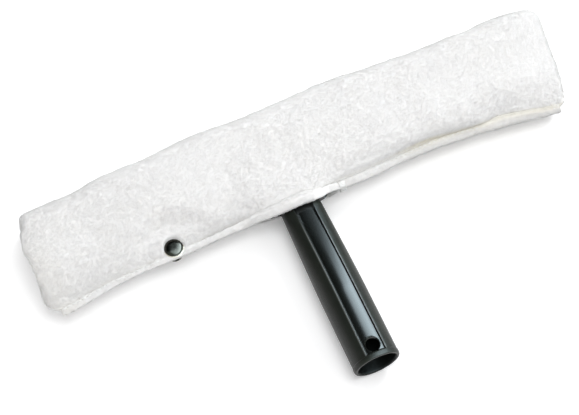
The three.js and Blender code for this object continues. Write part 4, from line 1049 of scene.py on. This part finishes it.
def handle_mesh(name):
    """The handle as one closed skin: rings across its axis from the root over the grip, collar, rim and
    down the bore. Ring points crowd at the sunk panel's edges, and there the oval is drawn in by the
    panel's depth."""
    outside = np.concatenate([
        np.linspace(TOP_Y, ROOT_Y, 8), np.linspace(ROOT_Y - 1.2, PANEL_END_Y + 1.5, 88),
        PANEL_END_Y + np.array([0.9, 0.45, 0.3, 0.2, 0.1, 0.0, -0.1, -0.2, -0.26]),
    ])
    lip = np.linspace(0, np.pi / 2, 9)
    round_y = np.concatenate([  # collar, rounded rim, chamfer, pole socket and the narrow bore behind it
        COLLAR_Y + np.array([0.5, 0.38, 0.25, 0.12, 0.0]), np.linspace(COLLAR_Y - 0.2, RIM_Y + 2.25, 3),
        RIM_Y + 2.1 * (1 - np.sin(lip)), RIM_Y + np.array([0, 0, 0.12, 0.8, 1.1]),
        RIM_Y + np.linspace(5, 75.5, 24), RIM_Y + np.array([76, 76.8]), RIM_Y + np.linspace(77.4, 96, 8),
    ])
    round_r = np.concatenate([
        END_SIZE[0] + 0.3 * smooth(0, 1, np.array([0, 0.22, 0.5, 0.78, 1.0])), np.full(3, COLLAR_RADIUS),
        COLLAR_RADIUS - 0.9 * (1 - np.cos(lip)), [13.6, 13.2, 12.98, 12.36, 12.3],
        np.linspace(12.26, 10.6, 24), [10.6, 7.4], np.full(8, 7.2),
    ])
    y = np.concatenate([outside, round_y])[:, None]
    half_width, half_thickness, squareness = [
        np.concatenate(both)[:, None]
        for both in zip(grip_size(outside), (round_r, round_r, np.full(len(round_r), END_SIZE[2])))
    ]
    panel_half = 5.7 + 0.4 * np.clip((-20 - y) / 115, 0, 1)
    edge = np.arcsin(np.clip(panel_half / half_width, 0, 1) ** (squareness / 2))
    slope = 0.38 / half_thickness
    step = np.concatenate([np.linspace(0, 1, 9), np.linspace(1, 2, 7)[1:], np.linspace(2, 3, 19)[1:]])
    first = np.clip(step, 0, 1) * (edge - slope)
    second = np.clip(step - 1, 0, 1) * 2 * slope
    third = np.clip(step - 2, 0, 1) * (np.pi / 2 - edge - slope)
    quadrant = first + second + third
    half = np.concatenate([quadrant, np.pi - quadrant[:, -2::-1]], 1)
    turn = np.concatenate([half, np.pi + half[:, 1:-1]], 1)
    from_top = np.concatenate([quadrant, quadrant[:, -2::-1], quadrant[:, 1:], quadrant[:, -2:0:-1]], 1)
    on_grip = (np.arange(len(y)) < len(outside))[:, None]
    panel = 1 - np.clip((from_top - edge + slope) / (2 * slope), 0, 1)
    drawn_in = PANEL_DEPTH * panel * smooth(PANEL_END_Y - 0.3, PANEL_END_Y + 0.3, y) * on_grip
    x = (half_width - drawn_in) * signed_power(np.sin(turn), 2 / squareness)
    z = MIDDLE + (half_thickness - drawn_in) * signed_power(np.cos(turn), 2 / squareness)
    points, faces = closed_tube(np.stack([x, y + 0 * x, z], 2))
    piece = mesh_piece(name, points, faces, handle_plastic)
    along_panel = smooth(PANEL_END_Y - 0.35, PANEL_END_Y, y) * on_grip
    # painted highlight line along the outer edges of the panel's sunk walls, fading out towards the root
    edge_highlight = np.exp(-((from_top - edge - slope) / 0.006) ** 2)
    shares = {
        "polished": (from_top < edge + slope * 1.01) * along_panel,
        "rim": edge_highlight * along_panel * smooth(34, 58, -y),
        "bore": (np.arange(len(y)) > len(outside) + RIM_RINGS)[:, None] + 0 * x,
    }
    for label, share in shares.items():
        set_attribute(piece, label, np.concatenate([share.ravel(), [0, 0]]))
    return piece


def cut_hole(piece, x, y, profile):
    """Cuts a turned hole through the piece, applied to its mesh, so that the mouth is a little rounded."""
    cutter = turned("hole_cutter", profile, x, y, handle_plastic, 64)
    cut = piece.modifiers.new("hole", "BOOLEAN")
    cut.operation, cut.solver, cut.object = "DIFFERENCE", "EXACT", cutter
    shape = bpy.data.meshes.new_from_object(piece.evaluated_get(bpy.context.evaluated_depsgraph_get()))
    piece.modifiers.clear()
    piece.data = shape
    bpy.data.objects.remove(cutter)
    shape.set_sharp_from_angle(angle=math.radians(42))


grip = handle_mesh("handle_grip")
HOLE_PROFILE = [  # through the panel's wall only
    (0, MIDDLE), (4.3, MIDDLE), (4.3, 21), (4.3, 27.4), (4.5, 28.1), (4.85, 28.65), (5.25, 29.1), (6.2, 36),
    (0, 36),
]
cut_hole(grip, 0.0, HOLE_Y, HOLE_PROFILE)


def bordered_plate(name, outline, half_thickness, rounding, taper=None):
    """A flat outline about the middle plane, whose faces lie sunk by the rounding inside raised rounded
    borders. The side between the borders is set in by as much and crosses the faces. All rings are the
    outline drawn in towards its middle. The taper scales the plate's thickness as a function of x."""
    outline = np.asarray(outline, float)
    middle = outline.mean(0)
    turn = np.linspace(0, np.pi / 2, 5)
    height = half_thickness - rounding * (1 - np.cos(turn))
    scale = 1 - rounding * (1 - np.sin(turn)) / np.linalg.norm(outline - middle, axis=1).mean()
    rings = []
    for z, share in zip(np.append(-height[::-1], height), np.append(scale[::-1], scale)):
        rings.append(np.column_stack([middle + (outline - middle) * share, np.full(len(outline), z)]))
    points, faces = closed_tube(np.array(rings))
    if taper:
        points[:, 2] *= taper(points[:, 0])
    points[:, 2] += MIDDLE
    return mesh_piece(name, points, faces, bar_plastic, 40)


shoulder_outline = np.vstack([
    quadratic((-13.1, ROOT_Y), (-13.8, -28.2), (-17, -28.0)),
    quadratic((-17.4, -28.0), (-24.8, -28.0), (-25.4, TOP_Y)),
    quadratic((21.6, TOP_Y), (21.4, -27.6), (18, -28.9)),
    quadratic((17.6, -28.9), (13.8, -28.8), (13.1, ROOT_Y)),
])
shoulder = bordered_plate(
    "handle_shoulder", shoulder_outline, 4.7, 1.4, lambda x: 1 - 0.62 * smooth(14.5, 21.5, x)
)
tongue_outline = [(-20, TOP_Y - 0.4), (-20, 5.0), (-19, 6), (19, 6), (20, 5.0), (20, TOP_Y - 0.4)]
tongue = bordered_plate("handle_tongue", tongue_outline, 2.5, 0.5)


# Press stud
CAP_BASE, CAP_TOP, CAP_RADIUS = 18.1, 20.3, 6.0
DOME_BASE = CAP_BASE + 0.75
dome_reach = np.sin(np.linspace(np.pi / 2, 0, 22))
cap_profile = np.vstack([
    [(0, CAP_BASE), (CAP_RADIUS - 0.5, CAP_BASE), (CAP_RADIUS - 0.2, CAP_BASE + 0.08)],
    [(CAP_RADIUS, CAP_BASE + 0.3), (CAP_RADIUS, CAP_BASE + 0.5), (CAP_RADIUS - 0.15, CAP_BASE + 0.68)],
    np.column_stack([
        (CAP_RADIUS - 0.35) * dome_reach,
        DOME_BASE + (CAP_TOP - DOME_BASE) * (1 - dome_reach**5) ** 0.6,
    ])[:-1],
    [(0, CAP_TOP)],
])
seat_profile = rounded_profile([(0, 17.86), (6.5, 17.86), (6.62, 18.2), (5.4, 18.3), (0, 18.3)], 0.15, 3)
post_profile = [(0, 15.3), (1.1, 15.3), (1.1, 18.0), (0, 18.0)]
cap = turned("snap_dome", cap_profile, *SNAP, cap_enamel, 96, 60)
cap_seat = turned("snap_seat", seat_profile, *SNAP, cap_ring, 96, 60)
cap_post = turned("snap_post", post_profile, *SNAP, stud_metal, 24)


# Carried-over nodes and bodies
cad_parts["crossbar"].material_slots[0].material = bar_plastic
for node in ["left_screw", "right_screw", "snap_stud", "snap_eyelet", "snap_socket", "snap_spring"]:
    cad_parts[node].material_slots[0].material = stud_metal

for piece in [front_fleece, front_hem, front_hem_nap, front_stitches_left, front_stitches_right, *front_nap]:
    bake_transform(piece)
for piece in [back_fleece, back_hem, back_hem_nap, seam_hem, seam_hem_nap, seam_stitches, back_stitches_left,
              back_stitches_right, end_stitches, tack, *back_nap]:
    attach(piece, "sleeve")
for piece in [cap, cap_seat, cap_post]:
    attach(piece, "flap")
for piece in [grip, shoulder, tongue]:
    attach(piece, "t_bar")

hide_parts("front_flap")
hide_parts("fleece_sleeve")
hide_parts("front_binding")
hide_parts("back_binding")
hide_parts("seam_binding")
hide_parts("front_thread_left")
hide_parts("front_thread_right")
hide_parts("seam_thread")
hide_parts("back_thread_left")
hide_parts("back_thread_right")
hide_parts("end_thread")
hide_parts("bar_tack")
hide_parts("handle")
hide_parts("snap_cap")


# Floor, light and camera
FLOOR_TONE, FLOOR_LIFT = 1.13, 0.1
FLOOR_HALF, FLOOR_Z = 3, -0.00012  # metres
target = Vector(placed([-6.312, -27.101, MIDDLE]))


def chained(tree, kind, *values):
    """A new node's first output. Its inputs are set in their order."""
    node = tree.nodes.new("ShaderNode" + kind)
    for value, socket in zip(values, node.inputs):
        put(tree, value, socket)
    return node.outputs[0]


def floor_finish():
    """Pale matt floor. The camera sees it as white with the object's soft shadow."""
    material, tree, surface = finish("pale_floor", 0.9, 0.1)
    feed(tree, surface, Base_Color=rgb(0.8, 0.8, 0.8))
    tone = chained(tree, "BsdfDiffuse", rgb(FLOOR_TONE, FLOOR_TONE, FLOOR_TONE))
    glow = new_node(tree, "Emission", Strength=FLOOR_LIFT).outputs[0]
    rays = tree.nodes.new("ShaderNodeLightPath").outputs
    clear_rays = total(tree, rays["Is Glossy Ray"], rays["Is Transmission Ray"])
    straight = total(tree, rays["Is Camera Ray"], clear_rays, clamp=True)
    seen = chained(tree, "MixShader", straight, surface.outputs[0], chained(tree, "AddShader", tone, glow))
    feed(tree, tree.nodes["Material Output"], Surface=seen)
    return material


floor_mesh = bpy.data.meshes.new("floor")
floor_corners = [(FLOOR_HALF * x, FLOOR_HALF * y, FLOOR_Z) for x, y in ((-1, -1), (1, -1), (1, 1), (-1, 1))]
floor_mesh.from_pydata(floor_corners, [], [(0, 1, 2, 3)])
floor_mesh.materials.append(floor_finish())
floor = bpy.data.objects.new("floor", floor_mesh)
bpy.context.scene.collection.objects.link(floor)


def aimed(name, data, way, distance):
    """A new lamp or camera that faces the target from a direction."""
    item = bpy.data.objects.new(name, data)
    bpy.context.scene.collection.objects.link(item)
    item.location = target + way * distance
    item.rotation_euler = way.to_track_quat("Z", "Y").to_euler()
    return item


def softbox(name, direction, size, power, colour=(1, 1, 1)):
    """A square area lamp that no glossy surface shows."""
    data = bpy.data.lights.new(name, "AREA")
    data.shape = "RECTANGLE"
    data.size, data.size_y, data.energy, data.color = size, size, power, colour
    aimed(name, data, Vector(direction).normalized(), 1.3).visible_glossy = False


softbox("overhead_softbox", (0.08, -0.14, 0.98), 0.65, 5.5)
softbox("side_softbox", (0.68, 0.404, 0.612), 0.5, 5.8, (0.94, 0.98, 1.0))

# The sky is white where it is seen straight. A glossy surface shows dim walls and a wide window in it, which
# brightens to the right and has a slanted far edge
world = bpy.data.worlds.new("studio")
bpy.context.scene.world = world
world.use_nodes = True
sky = world.node_tree
rays = sky.nodes.new("ShaderNodeLightPath").outputs
straight = total(sky, rays["Is Camera Ray"], rays["Is Transmission Ray"], clamp=True)
way = new_node(sky, "SeparateXYZ", Vector=sky.nodes.new("ShaderNodeTexCoord").outputs["Generated"]).outputs
overhead = ramp_mask(sky, total(sky, way["Z"], product(sky, way["Y"], 0.5)), 0.35, 0.85)
wall = colour_mix(sky, overhead, rgb(0.2, 0.21, 0.18), rgb(0.04, 0.045, 0.04))
wall = colour_mix(sky, ramp_mask(sky, way["Y"], 0.3, -0.1), wall, rgb(0.65, 0.78, 0.66))
from_left = new_node(sky, "MapRange", Value=way["X"], From_Min=-0.35, From_Max=0.6).outputs["Result"]
slanted = math_node(sky, "SUBTRACT", way["Y"], product(sky, way["X"], 0.65))
window = product(
    sky, math_node(sky, "POWER", from_left, 0.95), ramp_mask(sky, slanted, 0.345, 0.27),
    ramp_mask(sky, way["Y"], 0.5, 0.41), ramp_mask(sky, way["X"], 0.88, 0.72),
    ramp_mask(sky, way["Z"], 0.25, 0.5)
)
glossy_sky = colour_mix(sky, window, wall, rgb(10.6, 12.8, 13.8))
scattered_sky = colour_mix(sky, rays["Is Glossy Ray"], rgb(0.63, 0.63, 0.635), glossy_sky)
feed(sky, sky.nodes["Background"], Color=colour_mix(sky, straight, scattered_sky, rgb(1, 1, 1)))

camera_data = bpy.data.cameras.new("camera")
camera_data.sensor_width, camera_data.lens, camera_data.clip_end = 36.0, 85.77, 20.0
azimuth, elevation = math.radians(-23.668), math.radians(63.824)
backward = Vector((
    math.sin(azimuth) * math.cos(elevation), -math.cos(azimuth) * math.cos(elevation), math.sin(elevation),
))
bpy.context.scene.camera = aimed("camera", camera_data, backward, 0.87145)
bpy.context.scene.view_settings.view_transform = "Standard"
